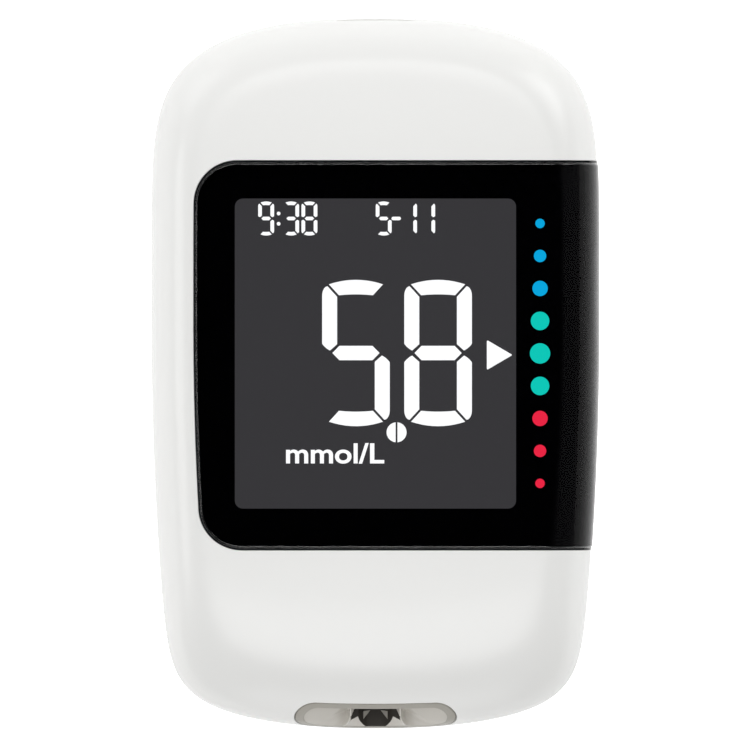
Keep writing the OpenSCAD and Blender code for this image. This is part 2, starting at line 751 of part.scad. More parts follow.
module battery_door() {
    color(shell_white) {
        difference() {
            intersection() {
                translate([0, cell_y, 0]) linear_extrude(split_z) door_plan(0);
                back_form(door_in, door_in);
            }
            back_form(door_in + door_t, door_in + door_t, 1);
        }
        for (x = [-hook_x, hook_x]) translate([x - hook_w / 2, door_y0, 0]) {
            translate([0, -hook_reach, wall + play]) cube([hook_w, 2 * hook_reach, hook_t]);
            translate([0, 0, door_in + door_t - hook_t])
                cube([hook_w, hook_reach, wall + play - door_in - door_t + 2 * hook_t]);
        }
        translate([-blade_size.x / 2, cell_y + door_l / 2 + 0.3, door_in + door_t - eps]) cube(blade_size);
    }
}

module case_screws() {
    color(steel) at_screws() difference() {
        union() {
            translate([0, 0, head_z - head_t]) cylinder(d = screw_head_d, h = head_t, $fn = 32);
            translate([0, 0, head_z - eps]) cylinder(d = screw_d, h = screw_len + eps, $fn = 24);
        }
        for (a = [0, 90]) rotate(a) translate([-1, -0.25, head_z - head_t - 1]) cube([2, 0.5, 1.7]);
    }
}

front_housing();
rear_housing();
display_window();
window_gasket();
lcd_glass();
lcd_holder();
backlight_guide();
backlight_leds();
lcd_connector();
main_board();
microcontroller();
radio_module();
crystal();
passive_components();
up_key();
down_key();
up_plunger();
down_plunger();
up_switch();
down_switch();
strip_port();
strip_connector();
strip_contacts();
ejector_thumb();
ejector_carriage();
ejector_spring();
usb_socket();
usb_tongue();
battery_tray();
negative_contacts();
positive_contacts();
left_cell();
right_cell();
battery_door();
case_screws();
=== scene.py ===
"""Looks of a pocket blood glucose meter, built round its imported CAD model.

Lengths are in millimetres until a mesh is made. X runs to the right, Y towards the top end and Z out of
the screen; the origin is on the back face, under the middle of the meter.
"""

import logging
import math
from collections.abc import Callable, Sequence
from dataclasses import dataclass, field
from enum import Enum

import bpy
import numpy as np
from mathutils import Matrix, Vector


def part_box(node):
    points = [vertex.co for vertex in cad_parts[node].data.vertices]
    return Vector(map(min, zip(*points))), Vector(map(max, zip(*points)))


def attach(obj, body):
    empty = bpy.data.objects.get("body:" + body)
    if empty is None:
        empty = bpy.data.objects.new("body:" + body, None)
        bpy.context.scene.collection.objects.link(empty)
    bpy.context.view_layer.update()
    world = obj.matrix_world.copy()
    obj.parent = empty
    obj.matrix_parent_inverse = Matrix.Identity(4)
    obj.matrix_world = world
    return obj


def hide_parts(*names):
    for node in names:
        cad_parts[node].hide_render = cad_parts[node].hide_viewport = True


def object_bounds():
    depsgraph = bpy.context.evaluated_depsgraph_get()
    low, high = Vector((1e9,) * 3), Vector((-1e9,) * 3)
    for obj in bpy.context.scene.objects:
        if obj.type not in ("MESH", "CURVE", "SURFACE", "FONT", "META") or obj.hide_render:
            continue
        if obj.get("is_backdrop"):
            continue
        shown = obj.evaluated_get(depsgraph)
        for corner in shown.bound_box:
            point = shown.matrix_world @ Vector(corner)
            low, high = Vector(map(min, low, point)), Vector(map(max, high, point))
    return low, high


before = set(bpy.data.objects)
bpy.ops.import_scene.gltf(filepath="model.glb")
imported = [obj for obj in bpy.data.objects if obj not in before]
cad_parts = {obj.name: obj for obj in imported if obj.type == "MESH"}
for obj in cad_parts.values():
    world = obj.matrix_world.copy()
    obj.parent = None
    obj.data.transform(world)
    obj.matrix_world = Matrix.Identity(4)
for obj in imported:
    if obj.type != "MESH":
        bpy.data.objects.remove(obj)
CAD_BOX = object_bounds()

LOG = logging.getLogger("meter")
Array = np.ndarray
MM = 0.001
SEARCH_STEPS = 36               # halvings of a search, which take it below a millionth of its range


# ---------------------------------------------------------------- small tools

def unit(vectors: Array) -> Array:
    """Vectors along the last axis, each divided by its own length."""
    return vectors / np.maximum(np.linalg.norm(vectors, axis=-1, keepdims=True), 1e-12)


def ramp(values: Array) -> Array:
    """A smooth step from 0 to 1: three times the square less twice the cube, held at both ends."""
    held = np.clip(values, 0, 1)
    return held * held * (3 - 2 * held)


def soft_max(first: Array, second: Array, blend: float) -> Array:
    """The larger of two values, its crease rounded: half of sum plus root of squared gap and blend."""
    return (first + second + np.sqrt((first - second) ** 2 + blend * blend)) / 2


def search(rising: Callable[[Array], Array], low: Array, high: Array) -> Array:
    """Finds where a function changes sign, by halving every range at once.

    Args:
        rising: function of an array, negative at low and positive at high.
        low: where each search starts.
        high: where each search ends.

    Returns:
        The place of the sign change in each range.
    """
    low, high = np.array(low, float), np.array(high, float)
    for _ in range(SEARCH_STEPS):
        middle = (low + high) / 2
        above = rising(middle) > 0
        high = np.where(above, middle, high)
        low = np.where(above, low, middle)
    return (low + high) / 2


class Ends(Enum):
    """How a stack of rings ends."""

    OPEN = "open"
    JOINED = "joined"           # the last ring meets the first
    CAPPED = "capped"           # a fan round a middle point closes both ends


@dataclass
class Shape:
    """A mesh as arrays.

    Attributes:
        points: corner points in millimetres, one row each.
        quads: faces of four point numbers.
        tris: faces of three point numbers.
    """

    points: Array
    quads: Array
    tris: Array

    def volume(self) -> float:
        """Signed volume: a sixth of the sum of each triangle's corner product."""
        tris = np.vstack([self.tris, self.quads[:, :3], self.quads[:, [0, 2, 3]]])
        a, b, c = (self.points[tris[:, i]] for i in range(3))
        return float(np.einsum("ij,ij->i", a, np.cross(b, c)).sum() / 6)

    def outward(self) -> "Shape":
        """The same shape with its faces pointing out."""
        if self.volume() >= 0:
            return self
        return Shape(self.points, self.quads[:, ::-1], self.tris[:, ::-1])

    def put(self, place: "Place") -> "Shape":
        """The shape moved from its own axes to a place on the meter."""
        return Shape(place.put(self.points), self.quads, self.tris)


def joined(shapes: Sequence[Shape]) -> Shape:
    """Several shapes as one, each keeping its own faces.

    Args:
        shapes: the shapes, in any order.

    Returns:
        One shape that holds them all.
    """
    starts = np.cumsum([0] + [len(s.points) for s in shapes[:-1]])
    return Shape(
        np.vstack([s.points for s in shapes]),
        np.vstack([s.quads + n for s, n in zip(shapes, starts)]),
        np.vstack([s.tris + n for s, n in zip(shapes, starts)]),
    )


def loft(rings: Array, ends: Ends) -> Shape:
    """A skin over rings of points: ring k and ring k + 1 are joined by a band of quads.

    Args:
        rings: array of ring, point and coordinate, each ring closed on itself.
        ends: how the first and the last ring end.

    Returns:
        The skin, facing out where it is closed.
    """
    count, around = rings.shape[:2]
    numbers = np.arange(count * around).reshape(count, around)
    rows = np.vstack([numbers, numbers[:1]]) if ends is Ends.JOINED else numbers
    low, high = rows[:-1], rows[1:]
    quads = np.stack([low, np.roll(low, -1, 1), np.roll(high, -1, 1), high], -1).reshape(-1, 4)
    points = rings.reshape(-1, 3)
    tris = np.zeros((0, 3), int)
    if ends is Ends.CAPPED:
        first, last = numbers[0], numbers[-1]
        hubs = np.full(around, len(points))
        tris = np.vstack([
            np.stack([np.roll(first, -1), first, hubs], -1),
            np.stack([last, np.roll(last, -1), hubs + 1], -1),
        ])
        points = np.vstack([points, rings[0].mean(0), rings[-1].mean(0)])
    shape = Shape(points, quads, tris)
    return shape if ends is Ends.OPEN else shape.outward()


@dataclass(frozen=True)
class Place:
    """Axes of a piece on the meter: its origin and its own X and Y. Its Z is their product."""

    origin: tuple[float, float, float]
    across: tuple[float, float, float] = (1.0, 0.0, 0.0)
    along: tuple[float, float, float] = (0.0, 1.0, 0.0)

    @property
    def axis(self) -> Array:
        """Direction of the piece's own Z."""
        return np.cross(self.across, self.along)

    def put(self, local: Array) -> Array:
        """Points given in the piece's own axes, in the meter's."""
        return np.array(self.origin) + local @ np.array([self.across, self.along, self.axis])


@dataclass(frozen=True)
class Plan:
    """A rounded rectangle round its middle; with the largest radius it is a slot, or a circle.

    Attributes:
        width: size across.
        length: size along.
        radius: corner radius.
        count: points round it.
    """

    width: float
    length: float
    radius: float
    count: int = 96

    def outline(self, grow: float = 0.0) -> Array:
        """Points round the plan, evenly spaced, moved outwards by grow along the outline's normals."""
        inner = np.array([self.width / 2 - self.radius, self.length / 2 - self.radius])
        corners = np.array([[1, 1], [-1, 1], [-1, -1], [1, -1]])
        angles = np.radians(np.linspace(0, 90, 33) + 90 * np.arange(4)[:, None])
        rays = np.stack([np.cos(angles), np.sin(angles)], -1)
        coarse = (corners[:, None] * inner + self.radius * rays).reshape(-1, 2)
        coarse = np.vstack([coarse, coarse[:1]])
        walked = np.concatenate([[0], np.cumsum(np.linalg.norm(np.diff(coarse, axis=0), axis=1))])
        stops = np.arange(self.count) * walked[-1] / self.count
        points = np.stack([np.interp(stops, walked, coarse[:, i]) for i in range(2)], -1)
        centres = np.clip(points, -inner, inner)
        return centres + (self.radius + grow) * unit(points - centres)

    def distance(self, x: Array, y: Array) -> Array:
        """Distance outside the plan, negative inside it."""
        a = np.abs(x) - self.width / 2 + self.radius
        b = np.abs(y) - self.length / 2 + self.radius
        return np.hypot(np.maximum(a, 0),
                        np.maximum(b, 0)) + np.minimum(np.maximum(a, b), 0) - self.radius


def ring_at(plan_points: Array, height: Array | float) -> Array:
    """A flat ring of points raised to a height, which may differ from point to point."""
    return np.column_stack([plan_points, np.broadcast_to(height, len(plan_points))])


def turned(plan: Plan, profile: Sequence[tuple[float, float]], ends: Ends = Ends.CAPPED) -> Shape:
    """A profile carried round a plan: each row of the profile is how far out the ring lies, and how high.

    Args:
        plan: the outline that the profile follows.
        profile: rows of growth and height.
        ends: how the stack ends.

    Returns:
        The closed shape in its own axes.
    """
    return loft(np.stack([ring_at(plan.outline(grow), height) for grow, height in profile]), ends)


def quarter(radius: float, steps: int = 5) -> list[tuple[float, float]]:
    """A rounded edge's rows of growth and height, from rim down to side: a quarter circle."""
    angles = np.radians(np.linspace(0, 90, steps + 1))
    return [(float(-radius * (1 - math.sin(a))), float(-radius * (1 - math.cos(a)))) for a in angles]


def block(
    plan: Plan,
    depth: float,
    edge: float,
    relief: Callable[[Array, Array], Array] | None = None,
    rings: int = 12,
    back_edge: float = 0.05,
) -> Shape:
    """A moulded block: a face over the plan with relief on it, a rounded rim, straight sides and a
    flat back.

    The face is rings of the plan's own outline drawn in towards the middle, each point raised by the
    relief.

    Args:
        plan: outline of the block.
        depth: thickness, downwards from the face.
        edge: radius of the rim.
        relief: height of the face over x and y, or None where it is flat.
        rings: rings over the face.
        back_edge: chamfer of the back.

    Returns:
        The closed block in its own axes, its face at height 0.
    """
    raise_by = relief or (lambda x, y: np.zeros_like(x))
    inner = plan.outline(-edge)
    shares = np.linspace(0, 1, rings + 1)[1:]
    face = [ring_at(inner * s, raise_by(*(inner * s).T)) for s in shares]
    rim_height = raise_by(*inner.T)
    rim = [ring_at(plan.outline(grow), rim_height + height) for grow, height in quarter(edge)[1:]]
    low = -depth
    base = [ring_at(plan.outline(), low + back_edge), ring_at(plan.outline(-back_edge), low),
            ring_at(plan.outline(-back_edge) * 0.5, low)]
    return loft(np.stack(face + rim + base), Ends.CAPPED)


def box_shape(low: Sequence[float], high: Sequence[float], edge: float = 0.08) -> Shape:
    """A box between two corners with rounded upright edges and chamfered top and bottom."""
    low, high = np.array(low, float), np.array(high, float)
    size, middle = high - low, (low + high) / 2
    plan = Plan(size[0], size[1], min(edge * 2, size[0] / 2.2, size[1] / 2.2), 48)
    shape = turned(plan, [(-edge, -size[2] / 2), (0, -size[2] / 2 + edge), (0, size[2] / 2 - edge),
                          (-edge, size[2] / 2)])
    return shape.put(Place(tuple(middle)))


def tube(path: Array, sideways: Array, radius: float, sides: int = 10) -> Shape:
    """A round wire: circles of the wire's radius round each point of a path, square to it.

    Args:
        path: points along the wire's middle.
        sideways: for each point, a direction square to the path.
        radius: radius of the wire.
        sides: points round the wire.

    Returns:
        The closed wire.
    """
    upwards = unit(np.cross(np.gradient(path, axis=0), sideways))
    angles = 2 * np.pi * np.arange(sides) / sides
    circles = (np.cos(angles)[None, :, None] * sideways[:, None]
               + np.sin(angles)[None, :, None] * upwards[:, None])
    return loft(path[:, None] + radius * circles, Ends.CAPPED)


# ---------------------------------------------------------------- the body's form

class Half(Enum):
    """The halves of the body on both sides of the parting line."""

    FRONT = "front"
    BACK = "back"


@dataclass(frozen=True)
class Rounding:
    """Edge of one half: how far its round reaches from side, top and foot, and how square it is."""

    side: float
    top: float
    foot: float
    power: float


@dataclass(frozen=True)
class BodyForm:
    """The body's skin as a formula.

    The outline is a superellipse with one pair of powers above the waist and another below, narrowing
    towards
    the foot. Each half rises from it over a superelliptic edge to a crowned front or a flat back. A
    point of
    the skin has two parameters: the turn round the outline in degrees, and the way in, which is 0 at the
    parting line, 1 where the rounded edge ends and 2 at the half's middle.
    """

    half_w: float
    half_l: float
    crown_z: float
    waist_y: float = 5.1
    split_z: float = 6.0
    foot_taper: float = 0.107
    top_powers: tuple[float, float] = (2.41, 6.65)
    foot_powers: tuple[float, float] = (2.05, 17.3)
    crown_fall_l: float = 2.2
    crown_fall_w: float = 0.5
    back_middle_y: float = 7.0
    front_edge: Rounding = Rounding(5, 6.5, 14, 2.3)
    back_edge: Rounding = Rounding(5.2, 5.2, 9, 2.4)
    right_in: float = 0.12      # how far the white shell lies inside the window on the right side

    def edge(self, half: Half) -> Rounding:
        """Rounding of a half."""
        return self.front_edge if half is Half.FRONT else self.back_edge

    def crown(self, x: Array, y: Array) -> Array:
        """Height of the front: the crown less a parabola along Y and another along X."""
        along = self.crown_fall_l * ((y - self.waist_y) / self.half_l) ** 2
        return self.crown_z - along - self.crown_fall_w * (x / self.half_w) ** 2

    def share(self, above: Array, v: Array) -> Array:
        """Half width at the way v from waist to end, against the widest: taper times superellipse."""
        across = np.where(above, self.top_powers[0], self.foot_powers[0])
        along = np.where(above, self.top_powers[1], self.foot_powers[1])
        taper = np.where(above, 0.0, self.foot_taper)
        return (1 - taper * v * v) * np.maximum(0, 1 - v ** along) ** (1 / across)

    def side(self, y: Array) -> Array:
        """Half width of the outline at y."""
        y = np.asarray(y, float)
        above = y >= self.waist_y
        reach = np.where(above, self.half_l - self.waist_y, self.half_l + self.waist_y)
        return self.half_w * self.share(above, np.abs(y - self.waist_y) / reach)

    def spans(self, half: Half, above: Array, right: Array, u: Array, inset: Array | float,
              trim: float) -> tuple:
        """Half width and half length of the ring that lies the share u of the way over the rounded edge."""
        edge = self.edge(half)
        end = np.where(above, self.half_l - self.waist_y, self.half_l + self.waist_y)
        width = (self.half_w - inset
                 - np.where(right, trim, 0)) * (1 - u) + (self.half_w - edge.side) * u
        reach = (end - inset) * (1 - u) + (end - np.where(above, edge.top, edge.foot)) * u
        return width, reach

    def skin(self, half: Half, turn: Array, way: Array, inset: Array | float = 0,
             sink: Array | float = 0,
             trim: float = 0) -> Array:
        """Points of the skin.

        Args:
            half: the front or the back.
            turn: degrees round the outline, 0 at the right and 90 at the top end.
            way: 0 at the parting line, 1 at the end of the rounded edge, 2 at the middle.
            inset: how far the skin lies inside the outline.
            sink: how far it lies inside the front or the back.
            trim: how much narrower the right side is.

        Returns:
            The points, one for each turn and way.
        """
        edge = self.edge(half)
        turn, way = np.broadcast_arrays(np.asarray(turn, float), np.asarray(way, float))
        within = np.radians(90 * np.clip(way, 0, 1))
        u = 1 - np.cos(within) ** (2 / edge.power)
        rise = np.sin(within) ** (2 / edge.power)
        above = turn <= 180
        folded = turn % 180
        q = np.minimum(folded, 180 - folded)
        along = np.where(above, self.top_powers[1], self.foot_powers[1])
        v = np.sin(np.radians(q)) ** (1 + (2 / along - 1) * (q / 90) ** 2)
        right = np.cos(np.radians(turn)) > 0
        width, reach = self.spans(half, above, right, u, inset, trim)
        x = np.where(right, 1, -1) * width * self.share(above, v)
        y = self.waist_y + np.where(above, 1, -1) * reach * v
        middle = self.waist_y if half is Half.FRONT else self.back_middle_y
        inwards = np.clip(2 - way, 0, 1)
        x = x * inwards
        y = middle + (y - middle) * inwards
        goal = self.crown(x, y) - sink if half is Half.FRONT else np.zeros_like(x) + sink
        return np.stack([x, y, self.split_z + (goal - self.split_z) * rise], -1)

    def level(self, half: Half, points: Array, inset: float = 0, sink: float = 0,
              trim: float = 0) -> Array:
        """A value that is 0 on the skin, above 0 outside it and below 0 inside it.

        It is the superellipse of the edge: the height share to the power, plus the share of the way
        out over
        the edge to the power, less one. The way out is found by halving, between rings that hold the point.
        """
        edge = self.edge(half)
        x, y, z = np.moveaxis(points, -1, 0)
        above = y >= self.waist_y

        def beyond(u: Array) -> Array:
            """How far the point lies outside the ring at u."""
            width, reach = self.spans(half, above, x > 0, u, inset, trim)
            v = np.abs(y - self.waist_y) / reach
            return (np.abs(x) + self.half_w * np.maximum(v - 1, 0)
                    - width * self.share(above, np.minimum(v, 1)))

        u = search(beyond, np.full(x.shape, -0.4), np.ones(x.shape))
        goal = self.crown(x, y) - sink if half is Half.FRONT else np.zeros_like(x) + sink
        height = np.maximum((z - self.split_z) / (goal - self.split_z), 0)
        return height ** edge.power + np.maximum(1 - u, 0) ** edge.power - 1

    def normal(self, half: Half, points: Array, inset: float = 0, sink: float = 0,
               trim: float = 0) -> Array:
        """Outward directions of the skin: the gradient of its level, by small differences both ways."""
        step = 0.002
        sides = [
            self.level(half, points + step * axis, inset, sink, trim)
            - self.level(half, points - step * axis, inset, sink, trim)
            for axis in np.eye(3)
        ]
        return unit(np.stack(sides, -1))

    def meet(self, half: Half, points: Array, axis: Array, sink: float = 0, trim: float = 0,
             far: float = 9) -> Array:
        """How far each point is from the skin, measured along an axis that points out of the body."""
        return search(
            lambda s: self.level(half, points + s[..., None] * axis, 0, sink, trim),
            np.full(points.shape[:-1], -far), np.full(points.shape[:-1], far),
        )


def spread_turns(count: int, dense: Sequence[float], width: float = 2.5, weight: float = 5) -> Array:
    """Angles round the outline, set closer together near some of them.

    The density is one plus a bell round each dense angle; its running sum is divided into equal parts.
    """
    fine = np.linspace(0, 360, 7201)
    apart = np.abs((fine[:, None] - np.array(dense) + 180) % 360 - 180)
    density = 1 + weight * np.exp(-(apart / width) ** 2).sum(1)
    walked = np.concatenate([[0], np.cumsum((density[1:] + density[:-1]) / 2)])
    return np.interp(np.arange(count) * walked[-1] / count, walked, fine)


def lip(curve: Array, normals: Array, ahead: Array, radius: Array | float, steps: int = 5) -> Array:
    """Rings of a rounded edge that turns from a skin into a hole or down a side.

    Each is a quarter circle in the plane of the skin's normal and the direction across the curve.

    Args:
        curve: closed curve on the skin where the round begins.
        normals: the skin's normals there.
        ahead: for each point, a vector that leads across the curve towards the edge.
        radius: radius of the round.
        steps: rings of the round, without the curve itself.

    Returns:
        The rings, the last of them upright.
    """
    tangent = np.roll(curve, -1, 0) - np.roll(curve, 1, 0)
    across = unit(np.cross(normals, tangent))
    across *= np.sign(np.einsum("ij,ij->i", across, ahead))[:, None]
    radius = np.broadcast_to(radius, len(curve))[:, None]
    angles = np.radians(np.linspace(0, 90, steps + 1)[1:])
    return np.stack([curve + radius * (math.sin(a) * across - (1 - math.cos(a)) * normals)
                     for a in angles])


# ---------------------------------------------------------------- materials

def linear(hex_colour: str) -> tuple[float, float, float, float]:
    """An sRGB hex colour as the linear values that a shader takes."""
    parts = [int(hex_colour.lstrip("#")[i:i + 2], 16) / 255 for i in (0, 2, 4)]
    return tuple(p / 12.92 if p <= 0.04045 else ((p + 0.055) / 1.055) ** 2.4 for p in parts) + (1.0,)


def add_node(tree: bpy.types.NodeTree, kind: str, inputs: dict | None = None,
             **attributes) -> bpy.types.Node:
    """Adds a node to a tree, sets it and links it.

    Args:
        tree: the tree.
        kind: Blender's name of the node.
        inputs: for an input's name or number, a value or the socket that feeds it.
        attributes: the node's own settings.

    Returns:
        The node.
    """
    made = tree.nodes.new(kind)
    for name, value in attributes.items():
        setattr(made, name, value)
    for name, value in (inputs or {}).items():
        if isinstance(value, bpy.types.NodeSocket):
            tree.links.new(value, made.inputs[name])
        else:
            made.inputs[name].default_value = value
    return made


@dataclass(frozen=True)
class Finish:
    """What every finish has, and the parts of its material.

    Attributes:
        name: the real material and how its surface was made.
        colour: its sRGB colour.
        roughness: roughness of its surface.
        settings: other values that are set on the shader's own sockets.
        mottle_mm: size of the slight changes of shade.
        mottle: how strong they are, as a share of the colour.
        grain_mm: size of the surface's grain.
        grain_depth_mm: depth of the grain.
    """

    name: str
    colour: str
    roughness: float
    settings: tuple[tuple[str, object], ...] = ()
    mottle_mm: float = 6.0
    mottle: float = 0.02
    grain_mm: float = 0.4
    grain_depth_mm: float = 0.002

    def noise(self, tree: bpy.types.NodeTree, size_mm: float,
              detail: float = 2.0) -> bpy.types.NodeSocket:
        """Noise in the piece's own coordinates whose blotches are about size_mm wide."""
        where = add_node(tree, "ShaderNodeTexCoord").outputs["Object"]
        made = add_node(tree, "ShaderNodeTexNoise",
                        {"Vector": where, "Scale": 1 / (size_mm * MM), "Detail": detail})
        return made.outputs["Fac"]

    def shade(self, tree: bpy.types.NodeTree) -> bpy.types.NodeSocket:
        """The colour: the finish's own, mottled a little lighter and darker."""
        low, high = (tuple(min(1.0, c * (1 + s * self.mottle)) for c in linear(self.colour)[:3])
                     + (1.0,)
                     for s in (-1, 1))
        made = add_node(tree, "ShaderNodeMix", {0: self.noise(tree, self.mottle_mm), 6: low, 7: high},
                        data_type="RGBA")
        return made.outputs[2]

    def height(self, tree: bpy.types.NodeTree) -> bpy.types.NodeSocket:
        """The grain's height, from 0 to 1."""
        return self.noise(tree, self.grain_mm, 3.0)

    def polish(self, tree: bpy.types.NodeTree) -> bpy.types.NodeSocket:
        """The roughness, which wanders by a tenth over the mottling."""
        made = add_node(tree, "ShaderNodeMapRange", {
            "Value": self.noise(tree, self.mottle_mm * 0.6),
            "To Min": self.roughness * 0.9, "To Max": self.roughness * 1.1,
        })
        return made.outputs["Result"]

    def material(self) -> bpy.types.Material:
        """The Blender material, made once and then used again."""
        found = bpy.data.materials.get(self.name)
        if found:
            return found
        made = bpy.data.materials.new(self.name)
        made.use_nodes = True
        tree = made.node_tree
        shader = tree.nodes["Principled BSDF"]
        bump = add_node(tree, "ShaderNodeBump",
                        {"Height": self.height(tree), "Distance": self.grain_depth_mm * MM})
        tree.links.new(self.shade(tree), shader.inputs["Base Color"])
        tree.links.new(self.polish(tree), shader.inputs["Roughness"])
        tree.links.new(bump.outputs["Normal"], shader.inputs["Normal"])
        for name, value in self.settings:
            shader.inputs[name].default_value = value
        made.diffuse_color = linear(self.colour)
        return made


@dataclass(frozen=True)
class BrushedMetal(Finish):
    """Metal drawn or brushed along one axis: its grain is noise stretched a hundred times that way."""

    axis: int = 0

    def height(self, tree: bpy.types.NodeTree) -> bpy.types.NodeSocket:
        """Noise squeezed across the brushing."""
        where = add_node(tree, "ShaderNodeTexCoord").outputs["Object"]
        scale = [1 / (self.grain_mm * MM)] * 3
        scale[self.axis] /= 100
        turned_to = add_node(tree, "ShaderNodeMapping", {"Vector": where, "Scale": scale})
        made = add_node(tree, "ShaderNodeTexNoise",
                        {"Vector": turned_to.outputs["Vector"], "Scale": 1.0})
        return made.outputs["Fac"]


@dataclass(frozen=True)
class Striped(Finish):
    """A material with fine stripes across X, such as an elastomer connector's layers."""

    stripe: str = "#2a2a2c"
    pitch_mm: float = 0.3
    warp: float = 0.0

    def shade(self, tree: bpy.types.NodeTree) -> bpy.types.NodeSocket:
        """The finish's colour with stripes of the second one, from a wave across X."""
        where = add_node(tree, "ShaderNodeTexCoord").outputs["Object"]
        wave = add_node(tree, "ShaderNodeTexWave", {
            "Vector": where, "Scale": math.pi / 10 / (self.pitch_mm * MM), "Distortion": self.warp,
        })
        made = add_node(tree, "ShaderNodeMix", {
            0: wave.outputs["Fac"], 6: linear(self.colour), 7: linear(self.stripe),
        }, data_type="RGBA")
        return made.outputs[2]


@dataclass(frozen=True)
class Glow:
    """A surface that gives light of its own, such as the lit part of a display; on the range dots the glow
    is painted light.

    Attributes:
        name: what it is.
        colour: colour it shows.
        strength: how bright it is, 1 being as bright as written.
    """

    name: str
    colour: str
    strength: float = 1.0

    def material(self) -> bpy.types.Material:
        """A dark film that gives off an even light."""
        found = bpy.data.materials.get(self.name)
        if found:
            return found
        made = bpy.data.materials.new(self.name)
        made.use_nodes = True
        tree = made.node_tree
        shader = tree.nodes["Principled BSDF"]
        shader.inputs["Base Color"].default_value = linear("#050506")
        shader.inputs["Roughness"].default_value = 0.5
        shader.inputs["Specular IOR Level"].default_value = 0.0
        shader.inputs["Emission Color"].default_value = linear(self.colour)
        shader.inputs["Emission Strength"].default_value = self.strength
        made.diffuse_color = linear(self.colour)
        return made


CLEAR = (("Transmission Weight", 1.0),)

# Glossy injection-moulded ABS: bright, even white, with a faint waviness in its reflections.
WHITE_ABS = Finish("white_abs_gloss_moulded", "#f2f2f0", 0.24, (("IOR", 1.53), ("Coat Weight", 0.0)),
                   mottle_mm=18, mottle=0.006, grain_mm=2.2, grain_depth_mm=0.0012)
# The same ABS from a spark-eroded mould on the back: a fine matt grain.
BACK_ABS = Finish("white_abs_fine_grain", "#eeeeeb", 0.34, (("IOR", 1.53),), mottle_mm=14, mottle=0.01,
                  grain_mm=0.16, grain_depth_mm=0.004)
# Cast acrylic with an anti-reflection hard coat, which gives it the weak reflections of a lower index.
ACRYLIC = Finish("clear_acrylic_window", "#f4f5f7", 0.0, CLEAR + (("IOR", 1.2),), mottle=0.0,
                 grain_mm=3.0,
                 grain_depth_mm=0.0)
# The same acrylic where its edge was cut with a diamond tool after coating: a bright line round the window.
POLISHED_EDGE = Finish("clear_acrylic_polished_edge", "#eceef2", 0.1, CLEAR + (("IOR", 1.49),),
                       mottle=0.0,
                       grain_mm=3.0, grain_depth_mm=0.0)
# Screen-printed black on the back of the window: dense and matt.
BLACK_INK = Finish("black_screen_ink", "#020203", 0.6, (("Specular IOR Level", 0.0),), mottle=0.2,
                   grain_mm=0.12, grain_depth_mm=0.001)
# Polycarbonate of the port's bezel: warm grey, darker than the scoops, satin.
WARM_GREY_PC = Finish("warm_grey_polycarbonate_satin", "#a5a198", 0.3, (("IOR", 1.58),), mottle_mm=2.5,
                   mottle=0.04,
                   grain_mm=0.3, grain_depth_mm=0.002)
# Elastomer that lines the strip's throat: nearly black, warm, matt. On the slot's walls in the scoops the
# same colour is painted shade.
LINER_AND_SLOT_SHADE = Finish("dark_elastomer_lining_and_slot_shade", "#37332e", 0.55, (("Specular IOR Level", 0.3),), mottle_mm=1.2,
               mottle=0.1,
               grain_mm=0.15, grain_depth_mm=0.002)
# Frosted polycarbonate of the strip port: pale grey, slightly see-through, softly shiny.
FROSTED_PC = Finish("grey_polycarbonate_frosted", "#c9c5bd", 0.16,
                    (("IOR", 1.58), ("Subsurface Weight", 0.1),
                    ("Subsurface Radius", (0.6, 0.6, 0.6)), ("Subsurface Scale", 0.001)),
                    mottle_mm=2.5, mottle=0.05, grain_mm=0.35, grain_depth_mm=0.003)
# Black polycarbonate keys: polished nearly as bright as the window round them.
KEY_PC = Finish("black_polycarbonate_polished", "#060607", 0.12,
                (("IOR", 1.49), ("Specular IOR Level", 0.25)),
                mottle=0.08, grain_mm=0.3, grain_depth_mm=0.0006)
# Acetal of the sliding thumb piece: dark grey, waxy.
ACETAL = Finish("grey_acetal_moulded", "#3a3c40", 0.42, (("IOR", 1.48),), mottle_mm=3, mottle=0.06,
                grain_mm=0.2, grain_depth_mm=0.004)
NATURAL_ACETAL = Finish("natural_acetal_moulded", "#e4e3dd", 0.45, (("IOR", 1.48),), mottle_mm=3,
                        mottle=0.03, grain_mm=0.3, grain_depth_mm=0.003)
WHITE_PC = Finish("white_polycarbonate_matt", "#dcdcd8", 0.5, (("IOR", 1.58),), mottle_mm=5,
                  mottle=0.03,
                  grain_mm=0.25, grain_depth_mm=0.004)
LIGHT_GUIDE = Finish("clear_acrylic_light_guide", "#eef3f6", 0.08, CLEAR + (("IOR", 1.49),),
                     mottle=0.02)
LCD_GLASS = Finish("lcd_glass_with_polariser", "#16171a", 0.12, (("IOR", 1.52),), mottle_mm=9,
                   mottle=0.1,
                   grain_mm=1.0, grain_depth_mm=0.0005)
PHOSPHOR = Finish("led_phosphor_resin", "#f2e6a0", 0.3, mottle_mm=0.6, mottle=0.1)
# Silicone with buried carbon layers, 0.18 mm apart, drawn twice as coarse so that they show.
ZEBRA = Striped("zebra_silicone_elastomer", "#e07a8b", 0.55, stripe="#2c2426", pitch_mm=0.36)
# Glass-epoxy laminate with green solder mask over copper tracks.
BOARD = Striped("fr4_green_solder_mask", "#14603a", 0.3, (("IOR", 1.5),), stripe="#1d7a4b",
                pitch_mm=1.1,
                warp=7.0, grain_mm=0.5, grain_depth_mm=0.006)
EPOXY = Finish("black_epoxy_moulded_chip", "#1c1d20", 0.55, mottle_mm=0.8, mottle=0.15, grain_mm=0.08,
               grain_depth_mm=0.006)
CERAMIC = Finish("barium_titanate_ceramic", "#b08e5c", 0.5, mottle_mm=0.5, mottle=0.12, grain_mm=0.1)
FOAM = Finish("black_closed_cell_foam", "#26282b", 0.9, mottle_mm=0.4, mottle=0.25, grain_mm=0.15,
              grain_depth_mm=0.03)
METAL = (("Metallic", 1.0),)
